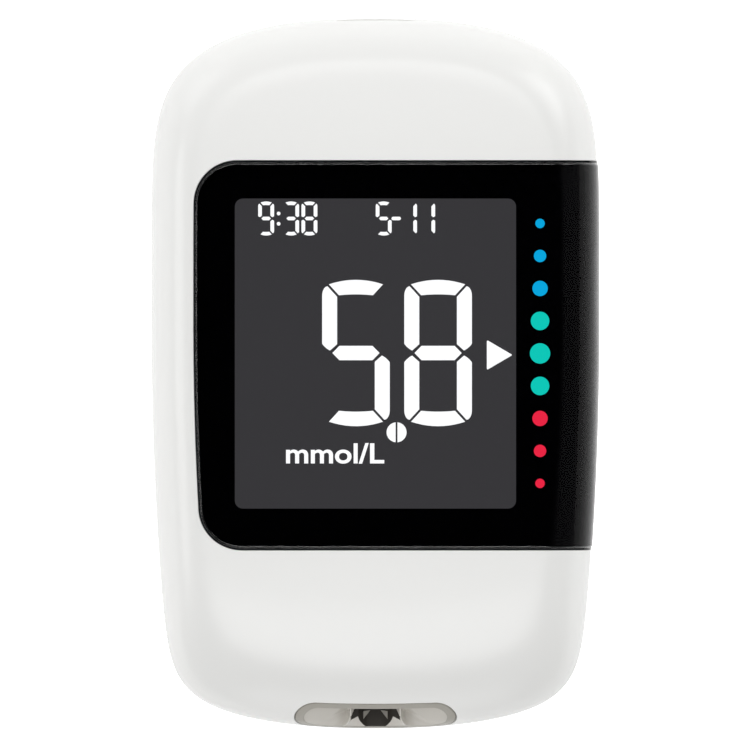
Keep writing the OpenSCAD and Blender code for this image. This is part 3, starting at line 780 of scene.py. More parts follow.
# Nickel-plated stamped steel: cool, bright, drawn along Y.
NICKEL = BrushedMetal("nickel_plated_steel", "#c9cacb", 0.24, METAL, grain_mm=0.05,
                      grain_depth_mm=0.0015, axis=1)
TIN_CAN = BrushedMetal("tinned_steel_can", "#c2c4c6", 0.33, METAL, grain_mm=0.08, grain_depth_mm=0.002)
STAINLESS = BrushedMetal("stainless_steel_cell_can", "#c4c5c6", 0.27, METAL, grain_mm=0.06,
                         grain_depth_mm=0.0015)
GOLD = Finish("gold_plated_phosphor_bronze", "#e6c27a", 0.22, METAL, grain_mm=0.1, grain_depth_mm=0.001)
SPRING_STEEL = Finish("spring_steel_wire", "#a9adb3", 0.28, METAL, grain_mm=0.1, grain_depth_mm=0.002)
ZINC = Finish("zinc_plated_steel_screw", "#b4b8be", 0.3, METAL, mottle_mm=0.8, mottle=0.08,
              grain_mm=0.1,
              grain_depth_mm=0.003)
LIT_FIELD = Glow("lcd_field_lit", "#3b3a3c")
LIT_SEGMENT = Glow("lcd_segment_lit", "#ffffff", 1.15)
# Screen inks of the range dots, printed under the cover; their glow is painted light, standing in for the
# lamps' light on the print.
BLUE_DOT = Glow("blue_screen_ink_painted_glow", "#08a2d8", 1.1)
TEAL_DOT = Glow("teal_screen_ink_painted_glow", "#0dc3b3", 1.1)
RED_DOT = Glow("red_screen_ink_painted_glow", "#e62542", 1.1)


# ---------------------------------------------------------------- making pieces

def add_piece(name: str, shape: Shape, finish: Finish | Glow, body: str,
              stands_for: Sequence[str] = (),
              crease: float = 38.0) -> bpy.types.Object:
    """Makes a Blender object of a shape, dresses it and hangs it on its body's empty.

    Args:
        name: name of the piece.
        shape: its mesh in millimetres.
        finish: its finish.
        body: the CAD body that it rides on.
        stands_for: CAD nodes that it is shown instead of.
        crease: edges sharper than this many degrees stay sharp.

    Returns:
        The object, at the origin.
    """
    mesh = bpy.data.meshes.new(name)
    mesh.from_pydata((shape.points * MM).tolist(), [], shape.quads.tolist() + shape.tris.tolist())
    mesh.update()
    mesh.shade_smooth()
    mesh.set_sharp_from_angle(angle=math.radians(crease))
    mesh.materials.append(finish.material())
    made = bpy.data.objects.new(name, mesh)
    bpy.context.scene.collection.objects.link(made)
    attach(made, body)
    if stands_for:
        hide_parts(*stands_for)
    LOG.info("%s: %d faces on body %s", name, len(mesh.polygons), body)
    return made


def cut(piece: bpy.types.Object, cutters: Sequence[Shape]) -> None:
    """Takes closed shapes, which don't meet each other, out of a piece.

    Args:
        piece: the piece that is cut.
        cutters: the closed shapes.
    """
    tool_shape = joined([c.outward() for c in cutters])
    mesh = bpy.data.meshes.new("cutter")
    mesh.from_pydata((tool_shape.points * MM).tolist(), [], tool_shape.quads.tolist()
                     + tool_shape.tris.tolist())
    mesh.update()
    tool = bpy.data.objects.new("cutter", mesh)
    bpy.context.scene.collection.objects.link(tool)
    step = piece.modifiers.new("cut", "BOOLEAN")
    step.operation = "DIFFERENCE"
    step.solver = "EXACT"
    step.object = tool
    bpy.context.view_layer.update()
    done = bpy.data.meshes.new_from_object(piece.evaluated_get(bpy.context.evaluated_depsgraph_get()))
    done.name = piece.name
    piece.modifiers.clear()
    piece.data = done
    bpy.data.objects.remove(tool)


def settle_normals(piece: bpy.types.Object, form: BodyForm, half: Half, inset: float = 0,
                   sink: float = 0,
                   trim: float = 0, crease: float = 38.0) -> None:
    """Gives the skin's faces the formula's own normals, so that no facet shows in a reflection.

    A face belongs to the skin if all its corners lie on it and it faces the same way. Other faces keep the
    normals that smooth shading gives them.

    Args:
        piece: the piece.
        form: the body's form.
        half: which half its skin is on.
        inset: how far the skin lies inside the outline.
        sink: how far it lies inside the front or back.
        trim: how much narrower its right side is.
        crease: edges sharper than this many degrees stay sharp.
    """
    mesh = piece.data
    mesh.shade_smooth()
    mesh.set_sharp_from_angle(angle=math.radians(crease))
    points = np.zeros(len(mesh.vertices) * 3, np.float32)
    mesh.vertices.foreach_get("co", points)
    points = points.reshape(-1, 3).astype(float) / MM
    normals = form.normal(half, points, inset, sink, trim)
    gap = np.abs(form.level(half, points, inset, sink, trim))
    ahead, behind = (form.level(half, points + s * 0.01 * normals, inset, sink, trim) for s in (1, -1))
    slope = np.abs(ahead - behind) / 0.02
    on_skin = gap < 0.008 * np.maximum(slope, 1e-6)
    starts = np.zeros(len(mesh.polygons), np.int32)
    mesh.polygons.foreach_get("loop_start", starts)
    corners = np.zeros(len(mesh.loops), np.int32)
    mesh.loops.foreach_get("vertex_index", corners)
    facing = np.zeros(len(mesh.polygons) * 3, np.float32)
    mesh.polygons.foreach_get("normal", facing)
    totals = np.diff(np.append(starts, len(corners)))
    owner = np.repeat(np.arange(len(starts)), totals)
    agree = np.einsum("ij,ij->i", normals[corners], facing.reshape(-1, 3)[owner]) > 0.93
    whole = np.logical_and.reduceat(on_skin[corners] & agree, starts)
    current = np.zeros(len(mesh.loops) * 3, np.float32)
    mesh.corner_normals.foreach_get("vector", current)
    current = current.reshape(-1, 3)
    chosen = np.where(whole[owner][:, None], normals[corners], current)
    mesh.normals_split_custom_set(chosen.tolist())


def dress(node: str, finish: Finish) -> None:
    """Gives a CAD node that is shown as it is its finish."""
    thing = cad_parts[node]
    if not thing.material_slots:
        thing.data.materials.append(None)
    for slot in thing.material_slots:
        slot.material = finish.material()
    LOG.info("%s: dressed in %s", node, finish.name)


def find_way(skin: Callable[[Array], Array], distance: Callable[[Array], Array], count: int) -> Array:
    """For each turn, the way in at which a distance from an opening falls to 0."""
    return search(lambda way: -distance(skin(way)), np.zeros(count), np.full(count, 1.999))


def hole_cutter(form: BodyForm, halves: Sequence[Half], place: Place, plan: Plan, rim: float,
                depth: float,
                sink: float = 0, trim: float = 0) -> Shape:
    """The shape to take out for a hole whose rim is rounded where it meets the skin.

    From outside, it comes down to the skin as wide as the rim, curves in along a quarter circle that starts
    level with the skin, and then runs straight.

    Args:
        form: the body's form.
        halves: the half with the hole, or both where it crosses the parting line.
        place: the hole's axes, with its Z out of the body.
        plan: the hole's outline.
        rim: radius of the rounded rim.
        depth: how far below the place's own plane the hole ends.
        sink: how far the skin lies inside the front or back.
        trim: how much narrower the skin's right side is.

    Returns:
        The closed cutter.
    """
    rows = [(rim, -0.8)] + [(rim * (1 - math.sin(a)), rim * (1 - math.cos(a)))
                            for a in np.radians(np.linspace(0, 90, 6))]
    rings = []
    for grow, down in rows:
        flat = place.put(ring_at(plan.outline(grow), 0))
        height = np.min([form.meet(half, flat, place.axis, sink, trim) for half in halves], 0) - down
        rings.append(flat + height[:, None] * place.axis)
    rings.append(place.put(ring_at(plan.outline(), -depth)))
    return loft(np.stack(rings), Ends.CAPPED)


# ---------------------------------------------------------------- the meter's sub-assemblies

@dataclass(frozen=True)
class WindowPlan:
    """The window's outline: straight top and foot, a left side like the body's, and no right side."""

    form: BodyForm
    y0: float = -18.95
    y1: float = 22.85
    inset: float = 4.8
    radius: float = 4.5
    low_z: float = 6.2          # where the window ends on the right side
    blend: float = 0.3          # roundness of the corners on the right side

    def distance(self, points: Array, grow: float = 0.0, low_z: float | None = None) -> Array:
        """Distance outside the window grown by grow, negative inside, for points on the skin.

        It is that of a rounded rectangle whose X is counted from the body's left side, joined by a soft
        maximum to the distance below the window's lower edge on the right side.
        """
        x, y, z = np.moveaxis(points, -1, 0)
        held = np.clip(y, self.y0 + self.radius, self.y1 - self.radius)
        a = self.inset - self.form.side(held) - x + self.radius
        b = np.abs(y - (self.y0 + self.y1) / 2) - (self.y1 - self.y0) / 2 + self.radius
        flat = np.hypot(np.maximum(a, 0),
                        np.maximum(b, 0)) + np.minimum(np.maximum(a, b), 0) - self.radius
        return soft_max(flat - grow, (self.low_z if low_z is None else low_z) - z, self.blend)


@dataclass(frozen=True)
class Casing:
    """The white front and rear housings and the screws that hold them together."""

    form: BodyForm
    window: WindowPlan
    wall: float = 1.5
    seam: float = 0.12          # rounding of both halves at the parting line
    groove: float = 0.2         # gap round the window
    lip: float = 0.08           # rounding of the housing at the groove
    strip_z: float = 6.1        # top of the thin rail under the window on the right side
    pocket: tuple[float, float] = (1.0, 1.75)
    ledge: float = 1.0
    opening: Plan = Plan(34.3, 38.6, 0.4)
    opening_y: float = 2.15
    door_gap: float = 0.2
    screw_spots: tuple[tuple[float, float], ...] = ((15.0, 30.05), (13.5, -31.55))
    usb_mouth: Plan = Plan(8.3, 3.4, 0.8)
    turns: int = 820

    def rail(self, skin: Callable[..., Array], edge_way: Array) -> Array:
        """0 where the front is only a thin rail under the window, 1 where it is a full shell."""
        return ramp((skin(edge_way)[:, 2] - self.form.split_z - 0.2) / 1.2)

    def seam_rings(self, skin: Callable[..., Array], radius: Array, up: float) -> list[Array]:
        """The rounding at the parting line: rings of a quarter circle from the joint face to the skin."""
        rings = []
        for angle in np.radians([0, 30, 60]):
            ring = skin(0, radius * (1 - math.sin(angle)))
            ring[:, 2] += up * radius * (1 - math.cos(angle))
            rings.append(ring)
        return rings

    def first_way(self, half: Half, skin: Callable[..., Array], radius: Array) -> Array:
        """The way in at which the skin has risen by the seam's radius."""
        edge = self.form.edge(half)
        rise = radius / np.abs(skin(1)[:, 2] - self.form.split_z)
        return np.degrees(np.arcsin(rise ** (edge.power / 2))) / 90

    def front_shell(self) -> Shape:
        """The front housing: a profile up the skin to the groove, down into the window's pocket, over its
        ledge to the display's opening and back along the inside."""
        form, window = self.form, self.window
        turns = spread_turns(self.turns, [36, 330, 118, 232], 3.0)

        def skin(way: Array | float, inset: Array | float = 0, sink: Array | float = 0) -> Array:
            """The front's skin along every turn."""
            return form.skin(Half.FRONT, turns, way, inset, sink, form.right_in)

        def floor_skin(way: Array | float) -> Array:
            """The floor of the window's pocket."""
            return skin(way, *self.pocket)

        def to_groove(points: Array) -> Array:
            """Distance from where the lip begins."""
            return window.distance(points, self.groove + self.lip, self.strip_z)

        edge_way = find_way(skin, to_groove, len(turns))
        full = self.rail(skin, edge_way)
        seam = 0.03 + (self.seam - 0.03) * full
        lip_radius = 0.03 + (self.lip - 0.03) * full
        start = self.first_way(Half.FRONT, skin, seam)
        floor_way = find_way(floor_skin, lambda p: window.distance(p, self.groove, self.strip_z),
                             len(turns))
        hole_way = find_way(floor_skin,
                            lambda p: self.opening.distance(p[:, 0], p[:, 1] - self.opening_y),
                            len(turns))
        outer = [skin(start + (edge_way - start) * s) for s in np.linspace(0, 1, 44)]
        ahead = skin(edge_way + 0.02) - outer[-1]
        round_off = lip(outer[-1], form.normal(Half.FRONT, outer[-1], 0, 0, form.right_in), ahead,
                        lip_radius)
        floor = [floor_skin(floor_way + (hole_way - floor_way) * s) for s in np.linspace(0, 1, 5)]
        under_side, under_drop = self.pocket[0] + self.ledge, self.pocket[1] + self.ledge
        under = [skin(floor_way + (hole_way - floor_way) * s, under_side, under_drop)
                 for s in (1, 0.5, 0)]
        inside = []
        for s in np.linspace(0.92, 0, 9):
            thick = np.maximum(ramp((s - 0.75) / 0.2), 1 - full)
            inside.append(skin(floor_way * s, self.wall + (under_side - self.wall) * thick,
                               self.wall + (under_drop - self.wall) * thick))
        rings = self.seam_rings(skin, seam, 1) + outer + list(round_off) + floor + under + inside
        return loft(np.stack(rings), Ends.JOINED)

    def rear_shell(self, door: "BatteryDoor") -> Shape:
        """The rear housing: a profile down the skin to the door's opening and back along the inside."""
        form = self.form
        turns = spread_turns(self.turns, [74, 106, 40, 140, 218, 322], 3.0)

        def skin(way: Array | float, inset: Array | float = 0, sink: Array | float = 0) -> Array:
            """The back's skin along every turn."""
            return form.skin(Half.BACK, turns, way, inset, sink, form.right_in)

        seam = np.full(len(turns), self.seam)
        start = self.first_way(Half.BACK, skin, seam)
        rim = 0.15
        edge_way = find_way(skin, lambda p: door.distance(p, self.door_gap + rim), len(turns))
        inner_way = find_way(lambda w: skin(w, self.wall, self.wall),
                             lambda p: door.distance(p, self.door_gap), len(turns))
        outer = [skin(start + (edge_way - start) * s) for s in np.linspace(0, 1, 40)]
        round_off = lip(outer[-1], form.normal(Half.BACK, outer[-1], 0, 0, form.right_in),
                        skin(edge_way + 0.02) - outer[-1], rim)
        inside = [skin(inner_way * s, self.wall, self.wall) for s in np.linspace(1, 0, 12)]
        rings = self.seam_rings(skin, seam, -1) + outer + list(round_off) + inside
        return loft(np.stack(rings), Ends.JOINED)

    def screw(self, x: float, y: float) -> Shape:
        """A case screw: a domed head with a cross recess, and a shank whose radius follows the thread.

        The thread is a triangle wave of height plus turn; the recess is the smaller distance from two bars.
        """
        head_z, head_r, shank_r, length = 1.1, 1.9, 1.0, 7.2

        def recess(u: Array, v: Array) -> Array:
            """Height of the head: a dome less the cross."""
            bar = np.minimum(np.maximum(np.abs(u) - 0.26, np.abs(v) - 1.05),
                             np.maximum(np.abs(v) - 0.26, np.abs(u) - 1.05))
            return 0.12 * (1 - (u * u + v * v) / head_r ** 2) - 0.75 * ramp(-bar / 0.1)

        head = block(Plan(2 * head_r, 2 * head_r, head_r, 96), 1.2, 0.3, recess, rings=40)
        turn = 2 * np.pi * np.arange(24) / 24
        height = np.linspace(-1.2, -length, 96)
        wave = np.abs((height[:, None] / 0.5 + turn / (2 * np.pi)) % 1 - 0.5) * 2
        radius = shank_r * (1 - 0.18 * wave) * np.clip((height[:, None] + length) / 0.8 + 0.35, 0, 1)
        shank = np.stack([radius * np.cos(turn), radius * np.sin(turn),
                          np.broadcast_to(height[:, None], radius.shape)], -1)
        return joined([head, loft(shank, Ends.CAPPED)]).put(Place((x, y, head_z), (1, 0, 0),
                                                                  (0, -1, 0)))

    def build(self, door: "BatteryDoor", port: "StripPort", ejector: "Ejector", usb_z: float) -> None:
        """Makes the two housings and the screws.

        Args:
            door: the battery door, for its opening.
            port: the strip port, for its hole.
            ejector: the strip ejector, for its recess.
            usb_z: height of the middle of the USB opening.
        """
        form = self.form
        front = add_piece("front_shell", self.front_shell(), WHITE_ABS, "meter",
                          ["front_housing"])
        usb_place = Place((0, form.half_l - 4, usb_z), (-1, 0, 0), (0, 0, 1))
        usb_hole = hole_cutter(form, list(Half), usb_place, self.usb_mouth, 0.22, 1.0, 0, form.right_in)
        port_hole = hole_cutter(form, [Half.FRONT], port.place, port.outer, 0.14, 4, 0, form.right_in)
        cut(front, [port_hole, usb_hole])
        settle_normals(front, form, Half.FRONT, trim=form.right_in)
        rear = add_piece("rear_shell", self.rear_shell(door), BACK_ABS, "meter",
                         ["rear_housing"])
        spots = [(s * x, y) for x, y in self.screw_spots for s in (1, -1)]
        wells = [
            hole_cutter(form, [Half.BACK], Place((x, y, 2.4), (1, 0, 0), (0, -1, 0)),
                        Plan(4.2, 4.2, 2.1, 72),
                        0.2, 0.0, 0, form.right_in)
            for x, y in spots
        ]
        cut(rear, wells + [ejector.recess(form), usb_hole])
        settle_normals(rear, form, Half.BACK, trim=form.right_in)
        columns = [
            turned(Plan(5.4, 5.4, 2.7, 48), [(0, 2.3), (0, 6.3), (-1.5, 6.3), (-1.5, 2.3)], Ends.JOINED)
            .put(Place((x, y, 0))) for x, y in spots
        ]
        add_piece("screw_columns", joined(columns), BACK_ABS, "meter")
        add_piece("case_screws_threaded", joined([self.screw(x, y) for x, y in spots]), ZINC, "meter",
                  ["case_screws"])


@dataclass(frozen=True)
class Window:
    """The black window: an acrylic cover that wraps down the right side, and the ink behind it."""

    form: BodyForm
    plan: WindowPlan
    proud: float = 0.1
    thickness: float = 1.6
    side_thickness: float = 0.8
    edge: float = 0.28          # width of the polished edge
    ink_t: float = 0.05
    ink_in: float = 0.02        # how far the ink reaches into the cover, so that no air shines between them
    gasket_w: float = 1.8
    gasket_side: float = 0.6    # width of the gasket on the right side
    gasket_t: float = 0.25
    groove: float = 0.2
    lit: Plan = Plan(30.4, 33.5, 0.87)
    lit_y: float = 2.15
    dot_x: float = 17.79
    dot_y1: float = 16.21
    dot_step: float = 3.511
    dot_radii: tuple[float, ...] = (0.51, 0.67, 0.83, 1.0, 1.1, 1.0, 0.83, 0.67, 0.51)
    turns: int = 820

    @property
    def drop(self) -> float:
        """How far the cover's underside lies below the crown."""
        return self.thickness - self.proud

    def skins(self) -> tuple[Array, Callable[..., Array]]:
        """The turns, and the cover's skin along them."""
        turns = spread_turns(self.turns, [33, 327, 118, 232], 3.0)
        return turns, lambda way, inset=0.0, sink=-self.proud: self.form.skin(
            Half.FRONT, turns, way, inset, sink)

    def cover(self) -> tuple[Shape, Array]:
        """The clear cover: from its middle over the face to the rim, down the side and back underneath.

        Returns:
            The shape, and for each face 1 where it belongs to the polished edge, else 0.
        """
        turns, skin = self.skins()
        low = self.plan.low_z
        way = find_way(skin, lambda p: self.plan.distance(p, -self.edge, low + self.edge), len(turns))
        under = find_way(lambda w: skin(w, self.side_thickness, self.drop),
                         lambda p: self.plan.distance(p, 0, low), len(turns))
        top = [skin(1.985 + (way - 1.985) * s) for s in np.linspace(0, 1, 64)]
        rim = lip(top[-1], self.form.normal(Half.FRONT, top[-1], 0, -self.proud), top[-1]
                  - skin(way + 0.02), self.edge)
        base = [skin(under + (1.985 - under) * s, self.side_thickness, self.drop)
                for s in np.linspace(0, 1, 24)]
        shape = loft(np.stack(top + list(rim) + base), Ends.CAPPED)
        band = np.arange(len(shape.quads)) // len(turns)
        on_rim = (band >= len(top) - 1) & (band < len(top) - 1 + len(rim))
        return shape, np.concatenate([on_rim, np.zeros(len(shape.tris), bool)]).astype(np.int32)

    def ink(self) -> Shape:
        """The ink: a thin layer under the cover, open over the display."""
        turns, skin = self.skins()
        side, sink = self.side_thickness - self.ink_in, self.drop - self.ink_in
        start = find_way(lambda w: skin(w, side, sink),
                         lambda p: self.plan.distance(p, -0.02, self.plan.low_z + 0.02), len(turns))
        end = find_way(lambda w: skin(w, side, sink),
                       lambda p: self.lit.distance(p[:, 0], p[:, 1] - self.lit_y), len(turns))
        upper = [skin(start + (end - start) * s, side, sink) for s in np.linspace(0, 1, 24)]
        lower = [skin(start + (end - start) * s, side + self.ink_t, sink + self.ink_t)
                 for s in np.linspace(1, 0, 24)]
        return loft(np.stack(upper + lower), Ends.JOINED)

    def dots(self, numbers: Sequence[int]) -> Shape:
        """Printed dots of the range scale, lying along the underside of the cover."""
        discs = []
        for n in numbers:
            flat = Plan(2 * self.dot_radii[n], 2 * self.dot_radii[n], self.dot_radii[n], 48)
            middle = np.array([self.dot_x, self.dot_y1 - n * self.dot_step])
            rings = []
            for rise in (0.03, 0.045):
                points = flat.outline() + middle
                rings.append(ring_at(points, self.form.crown(*points.T) - self.drop + self.ink_in
                                     + rise))
            discs.append(loft(np.stack(rings), Ends.CAPPED))
        return joined(discs)

    def gasket(self) -> Shape:
        """The gasket: a flat frame on the floor of the window's pocket, from the groove inwards."""
        turns, skin = self.skins()
        rings = []
        for sink, shares in ((self.drop + 0.04, np.linspace(0, 1, 4)),
                             (self.drop + self.gasket_t - 0.02, np.linspace(1, 0, 4))):
            side = self.side_thickness + 0.04 if sink < self.drop + 0.1 else self.side_thickness + 0.18
            start = find_way(lambda w: skin(w, side, sink),
                             lambda p: self.plan.distance(p, self.groove - 0.03, self.plan.low_z
                                                          - 0.03), len(turns))
            end = find_way(lambda w: skin(w, side, sink),
                           lambda p: self.plan.distance(p, -self.gasket_w, self.plan.low_z
                                                        + self.gasket_side), len(turns))
            rings += [skin(start + (end - start) * s, side, sink) for s in shares]
        return loft(np.stack(rings), Ends.JOINED)

    def build(self, keys: "SideKeys") -> None:
        """Makes the cover, the ink and the dots, and cuts the key holes."""
        shape, rim_faces = self.cover()
        cover = add_piece("window_cover", shape, ACRYLIC, "meter", ["display_window"])
        cover.data.materials.append(POLISHED_EDGE.material())
        cover.data.polygons.foreach_set("material_index", rim_faces)
        cut(cover, [keys.hole(self.form, y, 0.14) for y in keys.ys])
        settle_normals(cover, self.form, Half.FRONT, sink=-self.proud)
        ink = add_piece("window_ink", self.ink(), BLACK_INK, "meter")
        cut(ink, [keys.hole(self.form, y, 0.02) for y in keys.ys])
        # The range dots glow: painted light in place of the lamps' light on their print.
        for name, numbers, finish in (("high", (0, 1, 2), BLUE_DOT), ("target", (3, 4, 5), TEAL_DOT),
                                      ("low", (6, 7, 8), RED_DOT)):
            add_piece(f"range_dots_{name}", self.dots(numbers), finish, "meter")
        add_piece("gasket_frame", self.gasket(), FOAM, "meter", ["window_gasket"])


class Stroke(Enum):
    """The seven strokes of a digit."""

    TOP = "a"
    UPPER_RIGHT = "b"
    LOWER_RIGHT = "c"
    FOOT = "d"
    LOWER_LEFT = "e"
    UPPER_LEFT = "f"
    MIDDLE = "g"


LIT_STROKES = {"1": "bc", "3": "abcdg", "5": "acdfg", "8": "abcdefg", "9": "abcdfg", "-": "g"}


@dataclass(frozen=True)
class Digit:
    """A seven-stroke digit.

    Attributes:
        width: size across.
        height: size along.
        stroke: width of its strokes.
        part: extra gap between strokes, as a share of their width.
    """

    width: float
    height: float
    stroke: float
    part: float = 0.0

    def outline(self, stroke: Stroke) -> Array:
        """Corner points of a stroke: mitred ends, a bowed top and foot, and rounded outer corners."""
        w, h, t, e = self.width / 2, self.height / 2, self.stroke, self.part
        if stroke in (Stroke.TOP, Stroke.FOOT):
            s = np.linspace(-1, 1, 11)
            outer = np.stack([s * (w - (0.40 + e) * t), h - 0.30 * t * s * s], -1)
            inner = np.stack([s[::-2] * (w - (1.07 + e) * t), h - (0.97 + 0.06 * s[::-2] ** 2) * t], -1)
            points = np.vstack([outer, inner])
            return points if stroke is Stroke.TOP else points * [1, -1]
        if stroke is Stroke.MIDDLE:
            tip, shoulder, half = w - (0.63 + e) * t, w - (1.10 + e) * t, 0.48 * t
            return np.array([[tip, 0], [shoulder, half], [-shoulder, half], [-tip, 0],
                             [-shoulder, -half],
                             [shoulder, -half]])
        bend = np.radians(np.linspace(0, 90, 6))[:, None]
        top_turn = [w - 0.36 * t, h
                    - (1.0 + e) * t] + np.hstack([np.cos(bend), np.sin(bend)]) * [0.36 * t, 0.62 * t]
        cut_off = np.hstack([np.cos(bend), np.sin(bend)]) ** 1.6
        low_turn = [w - 0.53 * t, 0.63 * t] + cut_off * [0.53 * t, (e - 0.51) * t]
        inner = [[w - t, (0.54 + e) * t], [w - t, h - (1.08 + e) * t]]
        points = np.vstack([top_turn[::-1], low_turn, inner])
        flip = {Stroke.UPPER_RIGHT: [1, 1], Stroke.LOWER_RIGHT: [1, -1], Stroke.UPPER_LEFT: [-1, 1],
                Stroke.LOWER_LEFT: [-1, -1]}[stroke]
        return points * flip

    def shape(self, sign: str, middle: tuple[float, float], z: float, thick: float) -> Shape:
        """The lit strokes of a sign as thin prisms round a middle."""
        strokes = [self.outline(Stroke(letter)) + middle for letter in LIT_STROKES[sign]]
        return joined([prism(points, z, thick) for points in strokes])


def prism(points: Array, z: float, thick: float) -> Shape:
    """A flat outline as a thin closed prism, from z upwards."""
    return loft(np.stack([ring_at(points, z), ring_at(points, z + thick)]), Ends.CAPPED)


@dataclass(frozen=True)
class Display:
    """The lit display: its field, and a readout of plain numbers with the unit."""

    glass_w: float = 34.0
    glass_l: float = 38.3
    middle_y: float = 2.15
    film_t: float = 0.1
    mark_t: float = 0.015
    big: Digit = Digit(7.31, 15.82, 1.62, 0.05)
    small: Digit = Digit(1.72, 3.68, 0.4, 0.24)
    big_places: tuple[tuple[str, float], ...] = (("5", -2.11), ("8", 6.77))
    big_y: float = 2.21
    small_places: tuple[tuple[str, float], ...] = (
        ("9", -11.82), ("3", -9.12), ("8", -7.14), ("5", 0.89), ("1", 3.63), ("1", 5.59))
    small_y: float = 16.75
    dash: tuple[float, float] = (2.24, 0.7)
    colon: tuple[float, float, float, float] = (-10.47, 17.29, 16.18, 0.2)
    point: tuple[float, float, float] = (2.28, -6.36, 1.08)
    point_slit: float = 0.2
    arrow: tuple[float, float, float, float] = (12.07, 14.77, 2.0, 3.15)
    unit_box: tuple[float, float, float, float] = (-9.67, 0.95, -9.75, -7.52)

    def marks(self, z: float) -> Shape:
        """All lit marks but the unit, as thin prisms on the film."""
        t = self.mark_t
        shapes = [self.big.shape(sign, (x, self.big_y), z, t) for sign, x in self.big_places]
        shapes += [self.small.shape(sign, (x, self.small_y), z, t) for sign, x in self.small_places]
        dash = Plan(self.dash[1] * 1.45, 0.38, 0.19, 32).outline() + [self.dash[0], self.small_y]
        shapes.append(prism(dash, z, t))
        x, high, low, radius = self.colon
        shapes += [prism(Plan(2 * radius, 2 * radius, radius, 24).outline() + [x, y], z, t)
                   for y in (high, low)]
        shapes += [prism(self.half_point(side), z, t) for side in (1, -1)]
        shapes.append(prism(self.arrow_outline(), z, t))
        return joined(shapes)

    def half_point(self, side: int) -> Array:
        """One half of the decimal point: an arc closed by a straight slit."""
        x, y, radius = self.point
        inner = self.point_slit / 2
        reach = math.acos(inner / radius)
        angles = np.linspace(-reach, reach, 20)
        return np.stack([x + side * radius * np.cos(angles), y + radius * np.sin(angles)], -1)

    def arrow_outline(self) -> Array:
        """The pointer: a triangle with its corners slightly rounded."""
        x0, x1, y, height = self.arrow
        corners = np.array([[x0, y - height / 2], [x1, y], [x0, y + height / 2]])
        middle = corners.mean(0)
        inner = middle + (corners - middle) * 0.93
        arcs = []
        for n, start in enumerate((180, -60, 60)):
            angles = np.radians(np.linspace(start, start + 120, 6))
            arcs.append(inner[n] + 0.09 * np.stack([np.cos(angles), np.sin(angles)], -1))
        return np.vstack(arcs)

    def unit_mark(self, z: float) -> None:
        """The unit in plain sans letters, made a mesh and fitted to its box."""
        x0, x1, y0, y1 = self.unit_box
        text = bpy.data.curves.new("unit", "FONT")
        text.body = "mmol/L"
        text.offset = 0.018
        text.extrude = 0.001
        text.resolution_u = 6
        holder = bpy.data.objects.new("unit", text)
        bpy.context.scene.collection.objects.link(holder)
        bpy.context.view_layer.update()
        mesh = bpy.data.meshes.new_from_object(holder.evaluated_get(bpy.context.evaluated_depsgraph_get()))
        bpy.data.objects.remove(holder)
        points = np.zeros(len(mesh.vertices) * 3, np.float32)
        mesh.vertices.foreach_get("co", points)
        points = points.reshape(-1, 3).astype(float)
        low, high = points.min(0), points.max(0)
        share = (points - low) / (high - low)
        placed = np.array([x0, y0, z]) + share * [x1 - x0, y1 - y0, self.mark_t]
        mesh.vertices.foreach_set("co", (placed * MM).astype(np.float32).ravel())
        mesh.update()
        mesh.name = "display_unit"
        mesh.materials.clear()
        mesh.materials.append(LIT_SEGMENT.material())
        made = bpy.data.objects.new("display_unit", mesh)
        bpy.context.scene.collection.objects.link(made)
        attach(made, "meter")

    def build(self) -> None:
        """Makes the film and its marks, and dresses what carries them."""
        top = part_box("lcd_glass")[1].z / MM
        film = block(Plan(self.glass_w, self.glass_l, 0.3), self.film_t, 0.03, back_edge=0.01)
        add_piece("display_film", film.put(Place((0, self.middle_y, top + self.film_t))), LIT_FIELD,
                  "meter")
        add_piece("display_marks", self.marks(top + self.film_t), LIT_SEGMENT, "meter")
        self.unit_mark(top + self.film_t)
        dress("lcd_glass", LCD_GLASS)
        dress("lcd_holder", WHITE_PC)
        dress("backlight_guide", LIGHT_GUIDE)
        dress("backlight_leds", PHOSPHOR)
        dress("lcd_connector", ZEBRA)


